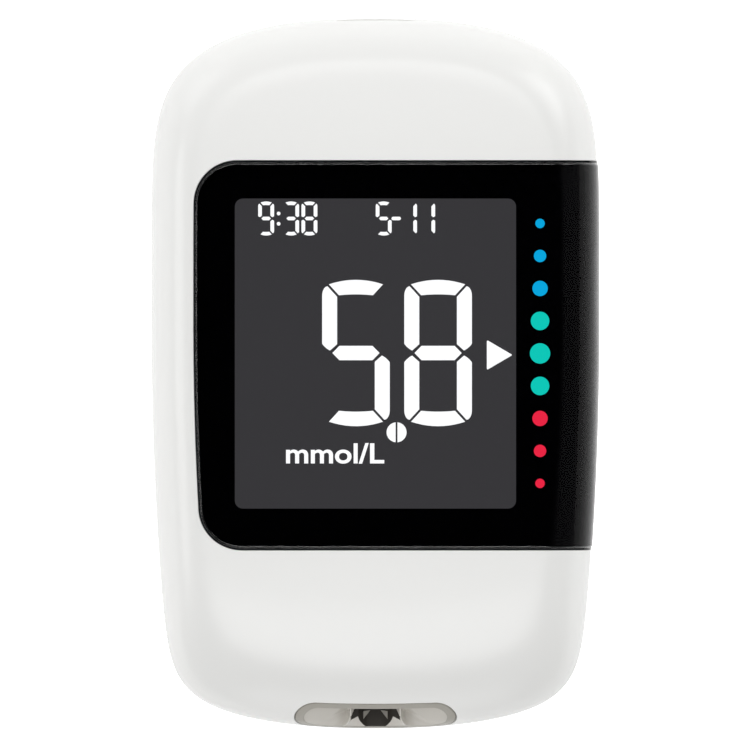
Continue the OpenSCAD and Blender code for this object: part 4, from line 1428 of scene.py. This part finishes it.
@dataclass(frozen=True)
class SideKeys:
    """The two keys in the window's right side, with the plungers behind them."""

    length: float = 11.0
    height: float = 3.0
    ys: tuple[float, float] = (8.65, -4.75)
    z: float = 8.7
    play: float = 0.1
    inset: float = 0.12
    flange_in: float = 2.3
    flange_t: float = 0.6
    flange_lip: float = 0.4

    def place(self, y: float) -> Place:
        """Axes of a key: X along the body, Y up, Z out of the right side, from the body's middle."""
        return Place((0, y, self.z), (0, 1, 0), (0, 0, 1))

    def hole(self, form: BodyForm, y: float, rim: float) -> Shape:
        """The hole in the window's side for the key at y."""
        plan = Plan(self.length + 2 * self.play, self.height + 2 * self.play, self.height / 2
                    + self.play, 120)
        return hole_cutter(form, [Half.FRONT], self.place(y), plan, rim, -20.0, -0.1)

    def key(self, form: BodyForm, y: float, points_to: int) -> Shape:
        """A key: a slot-shaped block whose face follows the window's side, with a raised triangle on it."""

        def face(u: Array, v: Array) -> Array:
            """The window's side less the inset, plus the triangle."""
            points = self.place(y).put(np.stack([u, v, np.zeros_like(u) + 20], -1))
            side = 20 + form.meet(Half.FRONT, points, np.array([1.0, 0, 0]), -0.1)
            along = (points_to * u + 0.75) / 1.5
            inside = np.minimum(np.minimum(along, 1 - along) * 1.5, 0.8 * (1 - along) - np.abs(v))
            return side - self.inset + 0.1 * ramp(inside / 0.12)

        plan = Plan(self.length, self.height, self.height / 2, 160)
        back = float(form.side(y)) - self.flange_in
        cap = block(plan, -(back - self.flange_t / 2), 0.3, face, rings=36)
        flange_plan = Plan(self.length + 2 * self.flange_lip, self.height + 2 * self.flange_lip,
                           self.height / 2 + self.flange_lip, 96)
        flange = turned(flange_plan, [(-0.08, back - self.flange_t), (0, back - self.flange_t + 0.08),
                                      (0, back - 0.08), (-0.08, back)])
        return joined([cap, flange]).put(self.place(y))

    def build(self, form: BodyForm) -> None:
        """Makes the keys and dresses the plungers and switches."""
        for name, y, way in (("up", self.ys[0], 1), ("down", self.ys[1], -1)):
            add_piece(f"{name}_key_cap", self.key(form, y, way), KEY_PC, f"{name}_button",
                      [f"{name}_key"])
            dress(f"{name}_plunger", NATURAL_ACETAL)
            dress(f"{name}_switch", TIN_CAN)


@dataclass(frozen=True)
class StripPort:
    """The strip port: a bezel darker than the scoops, frosted finger scoops with two fins in it, and a dark
    throat for the strip.

    Its own axes lie in its sloping face: X to the right, Y up the face and Z out of it.
    """

    form: BodyForm
    outer: Plan = Plan(17.6, 4.8, 2.4, 320)
    basin: Plan = Plan(15.5, 3.46, 1.7, 320)
    basin_y: float = -0.05
    y: float = -37.1
    z: float = 8.4
    lean: float = 31.0
    gap: float = 0.1            # between the bezel and the housing
    edge: float = 0.14          # rounding of the bezel's outer edge
    basin_edge: float = 0.08
    skin_in: float = 0.1        # how far the bezel's face lies inside the housing's skin
    bezel_depth: float = 1.6
    wall: float = 0.8
    fin_a: float = 2.9          # where the fins stand before the grid is bent to their curve
    fin_half: float = 0.06
    fin_foot: float = 0.3       # how far a fin's inner flank leans out
    fillet: float = 0.3
    slot: tuple[float, float, float] = (5.4, 0.9, 8.6)
    throat: tuple[tuple[float, float], ...] = (
        (2.1, 9.1), (2.06, 8.62), (1.86, 8.2), (1.76, 7.98), (1.62, 7.74), (1.3, 7.34), (1.06, 7.1),
        (0.9, 7.0),
        (0.4, 7.0))
    throat_end: float = -34.4
    liner: float = 0.06

    @property
    def place(self) -> Place:
        """Axes of the port on the meter."""
        slope = math.radians(self.lean)
        return Place((0, self.y, self.z), (1, 0, 0), (0, math.sin(slope), math.cos(slope)))

    def reach(self, flat: Array) -> Array:
        """Height of the bezel's face over points of the port's own plane: the skin's, less its depth."""
        start = self.place.put(np.concatenate([flat, np.zeros(flat.shape[:-1] + (1,))], -1))
        return self.form.meet(Half.FRONT, start, self.place.axis, 0, self.form.right_in) - self.skin_in

    def bezel(self) -> Shape:
        """The bezel: a section carried round, up the outer wall, over the face to the basin and down again.

        Between the two outlines the face's rings are their weighted mean.
        """
        rows = [(self.outer.outline(-self.gap), -self.bezel_depth)]
        rows += [(self.outer.outline(grow - self.gap), height) for grow,
                 height in quarter(self.edge)[::-1]]
        rim = self.outer.outline(-self.gap - self.edge)
        brink = self.basin.outline(self.basin_edge) + [0, self.basin_y]
        rows += [(rim + (brink - rim) * s, 0.0) for s in np.linspace(0, 1, 9)[1:-1]]
        rows += [(self.basin.outline(-grow) + [0, self.basin_y], height) for grow,
                 height in quarter(self.basin_edge)]
        rows.append((self.basin.outline() + [0, self.basin_y], -self.bezel_depth))
        rings = [ring_at(flat, self.reach(flat) + height) for flat, height in rows]
        return loft(np.stack(rings), Ends.JOINED).put(self.place)

    def fin_line(self, y: Array) -> Array:
        """How far the fins' ridges stand from the middle: they spread with a power of the way down."""
        return 2.68 + 0.78 * np.clip((0.8 - y) / 2.5, 0, 1.1) ** 1.6

    def depth(self, a: Array, x: Array, y: Array) -> Array:
        """How deep the scoops' face lies under the bezel's.

        Each lobe is a plane that rises towards the foot, folded along a slanting crease, and fillets up to
        its fin. Between the fins a funnel falls towards the throat.

        Args:
            a: place across, counted so that the fins stand at fin_a.
            x: place across.
            y: place up the face.
        """
        up = y + 1.7
        fold = np.abs(x) - 4.0 - (0.6 - y) * 1.06
        lobe = 0.06 + 0.3 * up + 0.5 * np.maximum(-fold, 0) * np.clip(up / 1.6, 0,
                                                                      1) - 0.14 * np.maximum(fold, 0)
        top = 0.05
        away = np.clip((a - self.fin_a - self.fin_half) / self.fillet, 0, 1)
        lobe = top + (np.maximum(lobe, 0.04) - top) * (1 - (1 - away) ** 3)
        inwards = self.fin_a - self.fin_half - a
        share = 0.55 * np.clip(inwards / self.fin_foot, 0,
                               1) + 0.45 * np.clip((inwards - self.fin_foot) / 0.6, 0, 1)
        funnel = top + np.maximum(0.06 + 0.36 * up, 0.04) * share
        return np.where(a > self.fin_a, lobe, funnel)

    def scoops(self) -> Shape:
        """The scoops: closed loops of the face and of a back one wall behind it, one after another across.

        The grid is bent so that one of its lines follows each fin: inside the fins, the place across is
        scaled; outside them, it is squeezed towards the straight part's end.
        """
        basin, fin = self.basin, self.fin_a
        straight = basin.width / 2 - basin.radius
        foot = fin - self.fin_half - self.fin_foot
        spans = [(0, foot, 44), (foot, fin - self.fin_half, 10),
                 (fin - self.fin_half, fin + self.fin_half, 5),
                 (fin + self.fin_half, fin + self.fin_half + self.fillet, 16),
                 (fin + self.fin_half + self.fillet, straight, 44)]
        ends = straight + (basin.radius + 0.03) * np.sin(np.radians(np.linspace(0, 90, 26)[1:]))
        half = np.concatenate([[0.0]] + [np.linspace(low, high, count)[1:] for low, high,
                                         count in spans] + [ends])
        a = np.concatenate([-half[:0:-1], half])[:, None]
        reach_out = np.abs(a) - straight
        high = basin.length / 2 - basin.radius + 0.03 + np.sqrt(
            np.maximum(basin.radius ** 2 - np.maximum(reach_out, 0) ** 2, 0))
        y = self.basin_y + high * np.sin(np.radians(np.linspace(90, -90, 60)))
        line = self.fin_line(y)
        side = np.where(np.abs(a) < fin, np.abs(a) * line / fin, line
                        + (np.abs(a) - fin) * (straight - line) / (straight - fin))
        side = np.where(reach_out > 0, np.abs(a), side)
        x = np.sign(a) * side
        flat = np.stack([x, y], -1)
        level = self.reach(flat)
        face = level - self.depth(np.abs(a) + 0 * y, x, y)
        front = np.concatenate([flat, face[..., None]], -1)
        back = np.concatenate([flat, (level - 0.05 - 0.3 * np.maximum(y + 1.7, 0)
                                      - self.wall)[..., None]], -1)[:, ::-4]
        return loft(np.concatenate([front, back], 1), Ends.CAPPED).put(self.place)

    def throat_line(self, grow: float) -> Array:
        """The throat's section, seen along the meter: down one side, over the floor and up the other."""
        half = np.array(self.throat)
        line = np.vstack([half, half[::-1] * [-1, 1]])
        slope = unit(np.gradient(line, axis=0))
        return line + grow * np.stack([-slope[:, 1], slope[:, 0]], -1)

    def throat_cutter(self) -> Shape:
        """What the throat takes out of the scoops: its section carried along the meter."""
        line = self.throat_line(self.liner)
        rings = [np.stack([line[:, 0], np.full(len(line), y), line[:, 1]], -1)
                 for y in (-39.6, self.throat_end)]
        return loft(np.stack(rings), Ends.CAPPED)

    def throat_liner(self) -> Shape:
        """The throat's dark lining: at each point of its section a thin loop, running inwards."""
        heights = np.linspace(-2.3, 1.8, 36)
        level = self.reach(np.stack([np.zeros(36), heights], -1))
        place = self.place

        def inside(points: Array, y: Array) -> Array:
            """How far points at y lie inside the scoops' face."""
            local = np.stack([points[:, 0], y, points[:, 1]], -1) - np.array(place.origin)
            up, out = local @ np.array(place.along), local @ place.axis
            side = np.abs(points[:, 0])
            a = side * self.fin_a / self.fin_line(up)
            return np.interp(up, heights, level) - self.depth(a, side, up) - out

        sides = []
        for grow, turn in ((0.0, 1), (self.liner, -1)):
            line = self.throat_line(grow)
            front = search(lambda y: inside(line, y), np.full(len(line), -39.6),
                           np.full(len(line), self.throat_end))
            shares = np.linspace(0, 1, 8)[::turn]
            y = front[:, None] + (self.throat_end - front[:, None]) * shares
            sides.append(np.stack([np.repeat(line[:, :1], 8, 1), y, np.repeat(line[:, 1:], 8, 1)], -1))
        return loft(np.concatenate(sides, 1), Ends.CAPPED)

    def paint_slot_shade(self, mesh: bpy.types.Mesh) -> None:
        """Gives the faces that lie on the slot's walls the lining's dark colour: painted shade for the
        inside of the slot.
        """
        width, height, z = self.slot
        middles = np.zeros(len(mesh.polygons) * 3, np.float32)
        mesh.polygons.foreach_get("center", middles)
        x, _, up = middles.reshape(-1, 3).T / MM
        across, along = np.abs(np.abs(x) - width / 2), np.abs(np.abs(up - z) - height / 2)
        inside = (np.abs(x) < width / 2 + 0.01) & (np.abs(up - z) < height / 2 + 0.01)
        mesh.materials.append(LINER_AND_SLOT_SHADE.material())
        mesh.polygons.foreach_set("material_index",
                                  (inside & (np.minimum(across, along) < 0.01)).astype(np.int32))

    def guides(self) -> Shape:
        """The two wedges on the throat's floor that steer the strip to the middle."""
        corner = np.array([[1.45, -37.65], [1.5, -36.6], [0.56, -36.5]])
        return joined([prism(corner * [side, 1], 7.02, 0.33) for side in (1, -1)])

    def build(self) -> None:
        """Makes the port with its slot and the tunnel behind it, and dresses the connector and contacts."""
        width, height, z = self.slot
        add_piece("strip_port_bezel", self.bezel(), WARM_GREY_PC, "meter", ["strip_port"])
        tunnel = turned(Plan(width + 1.0, height + 1.0, 0.3, 48),
                        [(0, 0), (0, -2.2), (-0.5, -2.2), (-0.5, 0)], Ends.JOINED)
        slot = box_shape((-width / 2, -39.6, z - height / 2), (width / 2, -31, z + height / 2), 0.05)
        scoops = add_piece("strip_port_scoops", self.scoops(), FROSTED_PC, "meter")
        cut(scoops, [self.throat_cutter()])
        cut(scoops, [slot])
        # The slot's walls are coloured dark: painted shade inside the slot.
        self.paint_slot_shade(scoops.data)
        scoops.data.shade_smooth()
        scoops.data.set_sharp_from_angle(angle=math.radians(40))
        liner = add_piece("strip_throat", self.throat_liner(), LINER_AND_SLOT_SHADE, "meter")
        cut(liner, [slot])
        add_piece("strip_tunnel",
                  tunnel.put(Place((0, self.throat_end - 0.1, z), (1, 0, 0), (0, 0, 1))), LINER_AND_SLOT_SHADE,
                  "meter")
        add_piece("strip_guides", self.guides(), WARM_GREY_PC, "meter")
        dress("strip_connector", NATURAL_ACETAL)
        dress("strip_contacts", GOLD)


@dataclass(frozen=True)
class Ejector:
    """The strip ejector: a ribbed thumb piece in the left side, its carriage and its return spring."""

    length: float = 9.0
    travel: float = 4.0
    top_y: float = -10.05
    low_z: float = 2.5
    high_z: float = 5.1
    outer_x: float = 23.4
    recess_depth: float = 1.5
    play: float = 0.1
    rib_count: int = 5

    def place(self, y: float, x: float) -> Place:
        """Axes with X along the body, Y downwards and Z out of the left side."""
        return Place((-x, y, (self.low_z + self.high_z) / 2), (0, 1, 0), (0, 0, -1))

    def recess(self, form: BodyForm) -> Shape:
        """The recess in the left side, as long as the thumb piece and its travel."""
        length = self.length + self.travel + 4 * self.play
        middle = self.top_y + 2 * self.play - length / 2
        plan = Plan(length, self.high_z - self.low_z + 2 * self.play, 0.5, 120)
        return hole_cutter(form, [Half.BACK], self.place(middle, self.outer_x - self.recess_depth),
                           plan, 0.15, 0.0,
                           0, form.right_in)

    def thumb(self) -> Shape:
        """The thumb piece: a rounded block with grooves for the thumb, and the stem that joins the
        carriage.

        The face is a row of cosine ribs that fades out towards the ends.
        """
        pitch = self.length / (self.rib_count + 1)

        def ribs(u: Array, v: Array) -> Array:
            """Depth of the grooves at u along the piece."""
            fade = ramp((self.length / 2 - 0.7 - np.abs(u)) / 0.5)
            return -0.38 * (0.5 - 0.5 * np.cos(2 * np.pi * (u / pitch
                                                            + 0.5))) * fade - 0.12 * (v / 1.3) ** 2

        plan = Plan(self.length, self.high_z - self.low_z, 0.55, 160)
        pad = block(plan, self.recess_depth - self.play, 0.25, ribs, rings=44)
        pad = pad.put(self.place(self.top_y - self.length / 2, self.outer_x))
        low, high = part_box("ejector_thumb")
        stem_low = (-self.outer_x + self.recess_depth - self.play - 0.1, self.top_y - self.length / 2
                    - 1.5, 3.3)
        return joined([pad, box_shape(stem_low, (high.x / MM, self.top_y - self.length / 2 + 1.5, 4.3),
                                      0.1)])

    def spring(self) -> Shape:
        """The return spring: a helix along Y whose last turns close up."""
        low, high = (np.array(c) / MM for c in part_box("ejector_spring"))
        radius, wire = 1.05, 0.3
        turns = np.linspace(0, 7, 7 * 24 + 1)
        share = turns / 7
        along = low[1] + wire / 2 + (high[1] - low[1]
                                     - wire) * (share - 0.05 * np.sin(2 * np.pi * share) * 0.9)
        angle = 2 * np.pi * turns
        outwards = np.stack([np.cos(angle), np.zeros_like(angle), np.sin(angle)], -1)
        middle = np.array([(low[0] + high[0]) / 2, 0, (low[2] + high[2]) / 2])
        path = middle + radius * outwards + along[:, None] * [0, 1, 0]
        return tube(path, outwards, wire / 2, 12)

    def build(self) -> None:
        """Makes the thumb piece and the spring, and dresses the carriage."""
        add_piece("ejector_thumb_ribbed", self.thumb(), ACETAL, "ejector", ["ejector_thumb"])
        add_piece("ejector_spring_coil", self.spring(), SPRING_STEEL, "meter",
                  ["ejector_spring"])
        dress("ejector_carriage", NATURAL_ACETAL)


@dataclass(frozen=True)
class BatteryDoor:
    """The battery door in the back, with a ribbed finger tab, hooks and a stiffening blade."""

    plan: Plan = Plan(40.8, 23.0, 2.5)
    middle_y: float = 7.0
    tab: Plan = Plan(8.0, 4.6, 0.8)
    tab_y: float = 17.7
    inset: float = 0.15
    thickness: float = 1.3
    edge: float = 0.2
    turns: int = 820

    def distance(self, points: Array, grow: float = 0.0) -> Array:
        """Distance outside the door and its tab, grown by grow: the smaller of the two, softly joined."""
        x, y = points[..., 0], points[..., 1]
        body = self.plan.distance(x, y - self.middle_y)
        tab = self.tab.distance(x, y - self.tab_y)
        return -soft_max(-body, -tab, 0.25) - grow

    def shape(self, form: BodyForm) -> Shape:
        """The door: from its middle over the outside to the rim, up the side and back along the inside.

        Five ridges of a cosine's square stand on the tab.
        """
        turns = spread_turns(self.turns, [74, 106, 40, 140, 218, 322], 3.0)

        def skin(way: Array | float, inner: float = 0.0) -> Array:
            """The door's skin along every turn."""
            return form.skin(Half.BACK, turns, way, self.inset + inner, self.inset + inner,
                             form.right_in)

        way = find_way(skin, lambda p: self.distance(p, -self.edge), len(turns))
        under = find_way(lambda w: skin(w, self.thickness), lambda p: self.distance(p), len(turns))
        outer = np.stack([skin(1.98 + (way - 1.98) * s) for s in np.linspace(0, 1, 90)])
        rim = lip(outer[-1], form.normal(Half.BACK, outer[-1], self.inset, self.inset, form.right_in),
                  outer[-1] - skin(way + 0.02), self.edge)
        inner = [skin(under + (1.98 - under) * s, self.thickness) for s in np.linspace(0, 1, 16)]
        x, y = outer[..., 0], outer[..., 1]
        fade = ramp((3.4 - np.abs(x)) / 0.4) * ramp((y - 15.6) / 0.3) * ramp((19.4 - y) / 0.3)
        outer[..., 2] += 0.22 * fade * np.sin(np.pi * (y - 15.6) / 0.76) ** 2
        return loft(np.concatenate([outer, rim, np.stack(inner)]), Ends.CAPPED)

    def build(self, form: BodyForm) -> None:
        """Makes the door with its hooks and blade as one piece."""
        parts = [self.shape(form)]
        low_y = self.middle_y - self.plan.length / 2
        for x in (-8.0, 8.0):
            parts.append(box_shape((x - 2, low_y - 0.9, 1.6), (x + 2, low_y + 0.9, 2.0), 0.08))
            parts.append(box_shape((x - 2, low_y + 0.05, 1.1), (x + 2, low_y + 0.9, 1.95), 0.08))
        low, high = (np.array(c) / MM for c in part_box("battery_door"))
        parts.append(box_shape((-3, 17.6, 1.2), (3, 18.3, high[2]), 0.1))
        door = add_piece("battery_door_ribbed", joined(parts), BACK_ABS, "door",
                         ["battery_door"])
        settle_normals(door, form, Half.BACK, self.inset, self.inset, form.right_in)


@dataclass(frozen=True)
class Batteries:
    """The two coin cells and what holds and touches them."""

    radius: float = 10.0
    thickness: float = 3.2
    x: float = 10.15
    y: float = 7.0
    z: float = 1.85

    def cell(self, side: int) -> Shape:
        """A coin cell from its positive face: a pressed can with a plus sign, a groove and the cap."""

        def plus(u: Array, v: Array) -> Array:
            """The plus sign, pressed in, and a shallow ring near the rim."""
            bar = np.minimum(np.maximum(np.abs(u) - 0.35, np.abs(v) - 1.9),
                             np.maximum(np.abs(v) - 0.35, np.abs(u) - 1.9))
            round_way = np.hypot(u, v)
            return -0.12 * ramp(-bar / 0.15) - 0.08 * ramp((round_way - 8.6) / 0.3)

        can_t = self.thickness - 0.4
        can = block(Plan(2 * self.radius, 2 * self.radius, self.radius, 192), can_t, 0.45, plus,
                    rings=70)
        cap = turned(Plan(18, 18, 9, 96),
                     [(-0.6, -can_t + 0.05), (0, -can_t), (0, -self.thickness + 0.2),
                                           (-0.25, -self.thickness)])
        return joined([can, cap]).put(Place((side * self.x, self.y, self.z), (1, 0, 0), (0, -1, 0)))

    def build(self) -> None:
        """Makes the cells and dresses the tray and the contacts."""
        for name, side in (("left", -1), ("right", 1)):
            add_piece(f"{name}_cell_pressed", self.cell(side), STAINLESS, "meter",
                      [f"{name}_cell"])
        dress("battery_tray", WHITE_PC)
        dress("negative_contacts", GOLD)
        dress("positive_contacts", GOLD)


@dataclass(frozen=True)
class Electronics:
    """The board and what is soldered to it, with the USB socket at the top end."""

    usb: Plan = Plan(7.5, 2.6, 0.9, 72)
    usb_shell: float = 0.3
    usb_tab: tuple[float, float, float] = (0.8, 2.4, 0.3)

    @property
    def usb_middle(self) -> tuple[float, float]:
        """The mouth's Y and the middle's Z."""
        low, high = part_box("usb_socket")
        return high.y / MM, (low.z + high.z) / 2 / MM

    def socket(self) -> Shape:
        """The USB socket: a drawn shell with a rolled mouth, closed at the back."""
        low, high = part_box("usb_socket")
        depth = (high.y - low.y) / MM
        t = self.usb_shell
        profile = [(-0.4, -depth), (-0.1, -depth + 0.05), (0, -depth + 0.25), (0, -0.3), (0.05, -0.12),
                   (0.04, -0.03),
                   (-0.05, 0), (-t + 0.08, -0.05), (-t, -0.25), (-t, -depth + 1.0),
                   (-0.8, -depth + 1.0)]
        y, z = self.usb_middle
        shell = turned(self.usb, profile).put(Place((0, y, z), (-1, 0, 0), (0, 0, 1)))
        wide, long, thick = self.usb_tab
        half, back = self.usb.width / 2, low.y / MM + 0.4
        tabs = [box_shape((min(s * half, s * (half + wide)), back, z + 0.5),
                          (max(s * half, s * (half + wide)), back + long, z + 0.5 + thick), 0.05)
                for s in (1, -1)]
        return joined([shell] + tabs)

    def build(self) -> None:
        """Makes the socket's shell and dresses the rest."""
        add_piece("usb_socket_shell", self.socket(), NICKEL, "meter", ["usb_socket"])
        for node, finish in (("usb_tongue", EPOXY), ("main_board", BOARD), ("microcontroller", EPOXY),
                             ("radio_module", TIN_CAN), ("crystal", STAINLESS),
                             ("passive_components", CERAMIC)):
            dress(node, finish)


# ---------------------------------------------------------------- the studio

@dataclass(frozen=True)
class Lamp:
    """A round soft lamp aimed at the meter.

    Attributes:
        azimuth: where it stands round the meter, in degrees from the right towards the top end.
        elevation: how high it hangs, in degrees.
        radiance: how bright its face is.
        size: its diameter, in metres.
        distance: how far it is from the meter, in metres.
    """

    azimuth: float
    elevation: float
    radiance: float
    size: float = 0.45
    distance: float = 0.8

    def hang(self) -> None:
        """Adds the lamp to the scene."""
        name = f"softbox_{self.azimuth:.0f}_{self.elevation:.0f}"
        light = bpy.data.lights.new(name, "AREA")
        light.shape = "DISK"
        light.size = self.size
        light.energy = self.radiance * (math.pi * self.size / 2) ** 2
        turn, rise = math.radians(self.azimuth), math.radians(self.elevation)
        away = Vector((math.cos(rise) * math.cos(turn), math.cos(rise) * math.sin(turn),
                       math.sin(rise)))
        holder = bpy.data.objects.new(name, light)
        holder.location = away * self.distance
        holder.rotation_euler = (-away).to_track_quat("-Z", "Y").to_euler()
        bpy.context.scene.collection.objects.link(holder)


@dataclass(frozen=True)
class Studio:
    """A pale floor in a dim tent with a dark opening overhead, soft lamps, and a camera straight above."""

    lens_mm: float = 1200.0
    sensor_mm: float = 36.0
    view_w: float = 81.33       # width of the view at the parting line
    aim: tuple[float, float, float] = (-0.05, -0.17, 6.0)
    tent: float = 0.58
    dark_from: float = 0.8      # height on the unit sphere at which the tent starts to darken
    dark_full: float = 0.95     # height at which it is black
    lean_foot: float = -0.7     # Y on the unit sphere up to which the tent is darkest
    lean_top: float = 0.5       # Y from which it has its full level
    foot_share: float = 0.42    # the level at the foot, as a share of that at the top end
    floor_glow: float = 0.35
    lamps: tuple[Lamp, ...] = (
        Lamp(180, 30, 1.8), Lamp(135, 16, 1.0), Lamp(45, 30, 1.8), Lamp(45, 16, 1.0),
        Lamp(270, 64, 3.1), Lamp(90, 66, 2.4), Lamp(270, 16, 1.2),
    )

    def world(self) -> None:
        """A dim tent, dark straight overhead and darker towards the foot than the top end."""
        world = bpy.data.worlds.new("soft_tent")
        bpy.context.scene.world = world
        world.use_nodes = True
        tree = world.node_tree
        where = add_node(tree, "ShaderNodeTexCoord").outputs["Generated"]
        parts = add_node(tree, "ShaderNodeSeparateXYZ", {"Vector": where})
        fall = add_node(tree, "ShaderNodeMapRange", {
            "Value": parts.outputs["Z"], "From Min": self.dark_from, "From Max": self.dark_full,
            "To Min": self.tent, "To Max": 0.0,
        }, interpolation_type="SMOOTHSTEP")
        lean = add_node(tree, "ShaderNodeMapRange", {
            "Value": parts.outputs["Y"], "From Min": self.lean_foot, "From Max": self.lean_top,
            "To Min": self.foot_share, "To Max": 1.0,
        })
        level = add_node(tree, "ShaderNodeMath", {0: fall.outputs["Result"], 1: lean.outputs["Result"]},
                         operation="MULTIPLY")
        tree.links.new(level.outputs[0], tree.nodes["Background"].inputs["Strength"])
        tree.nodes["Background"].inputs["Color"].default_value = (1, 1, 1, 1)

    def floor(self) -> None:
        """A wide white floor that keeps the shadow, and is white to the camera and in gloss."""
        side = 4.0
        mesh = bpy.data.meshes.new("floor")
        mesh.from_pydata([(-side, -side, 0), (side, -side, 0), (side, side, 0), (-side, side, 0)], [],
                         [(0, 1, 2, 3)])
        made = bpy.data.objects.new("floor", mesh)
        bpy.context.scene.collection.objects.link(made)
        surface = bpy.data.materials.new("white_paper_floor")
        surface.use_nodes = True
        tree = surface.node_tree
        tree.nodes.remove(tree.nodes["Principled BSDF"])
        paths = add_node(tree, "ShaderNodeLightPath")
        in_gloss = add_node(tree, "ShaderNodeMath", {
            0: paths.outputs["Is Glossy Ray"], 1: paths.outputs["Is Transmission Ray"],
        }, operation="MAXIMUM")
        lift = add_node(tree, "ShaderNodeMath", {0: paths.outputs["Is Camera Ray"], 1: self.floor_glow},
                        operation="MAXIMUM")
        glow = add_node(tree, "ShaderNodeEmission",
                        {"Color": (1, 1, 1, 1), "Strength": lift.outputs[0]})
        matt = add_node(tree, "ShaderNodeBsdfDiffuse", {"Color": linear("#f4f4f4")})
        both = add_node(tree, "ShaderNodeAddShader", {0: glow.outputs[0], 1: matt.outputs[0]})
        white = add_node(tree, "ShaderNodeEmission", {"Color": (1, 1, 1, 1), "Strength": 1.0})
        choice = add_node(tree, "ShaderNodeMixShader",
                          {0: in_gloss.outputs[0], 1: both.outputs[0], 2: white.outputs[0]})
        tree.links.new(choice.outputs[0], tree.nodes["Material Output"].inputs["Surface"])
        mesh.materials.append(surface)
        made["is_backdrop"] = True

    def camera(self) -> None:
        """A long lens straight above."""
        data = bpy.data.cameras.new("camera")
        data.lens = self.lens_mm
        data.sensor_width = self.sensor_mm
        distance = self.view_w * MM * self.lens_mm / self.sensor_mm
        holder = bpy.data.objects.new("camera", data)
        holder.location = Vector(self.aim) * MM + Vector((0, 0, distance))
        data.clip_start, data.clip_end = distance * 0.05, distance * 20
        bpy.context.scene.collection.objects.link(holder)
        bpy.context.scene.camera = holder

    def build(self) -> None:
        """Sets up the whole studio."""
        self.camera()
        self.world()
        self.floor()
        for lamp in self.lamps:
            lamp.hang()
        bpy.context.scene.view_settings.view_transform = "Standard"


def main() -> None:
    """Builds the studio and every sub-assembly in order."""
    logging.basicConfig(level=logging.INFO, format="%(name)s: %(message)s")
    low, high = (np.array(c) / MM for c in CAD_BOX)
    window_proud = 0.1
    form = BodyForm((high[0] - low[0]) / 2, (high[1] - low[1]) / 2, high[2] - window_proud)
    plan = WindowPlan(form)
    keys, port, ejector, door, electronics = (
        SideKeys(), StripPort(form), Ejector(), BatteryDoor(), Electronics())
    Studio().build()
    Casing(form, plan).build(door, port, ejector, electronics.usb_middle[1])
    Window(form, plan).build(keys)
    Display().build()
    keys.build(form)
    port.build()
    ejector.build()
    door.build(form)
    Batteries().build()
    electronics.build()
    sizes = [[list(corner) for corner in box] for box in (CAD_BOX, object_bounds())]
    LOG.info("boxes in metres, CAD and visual: %s", sizes)


if __name__ == "__main__":
    main()
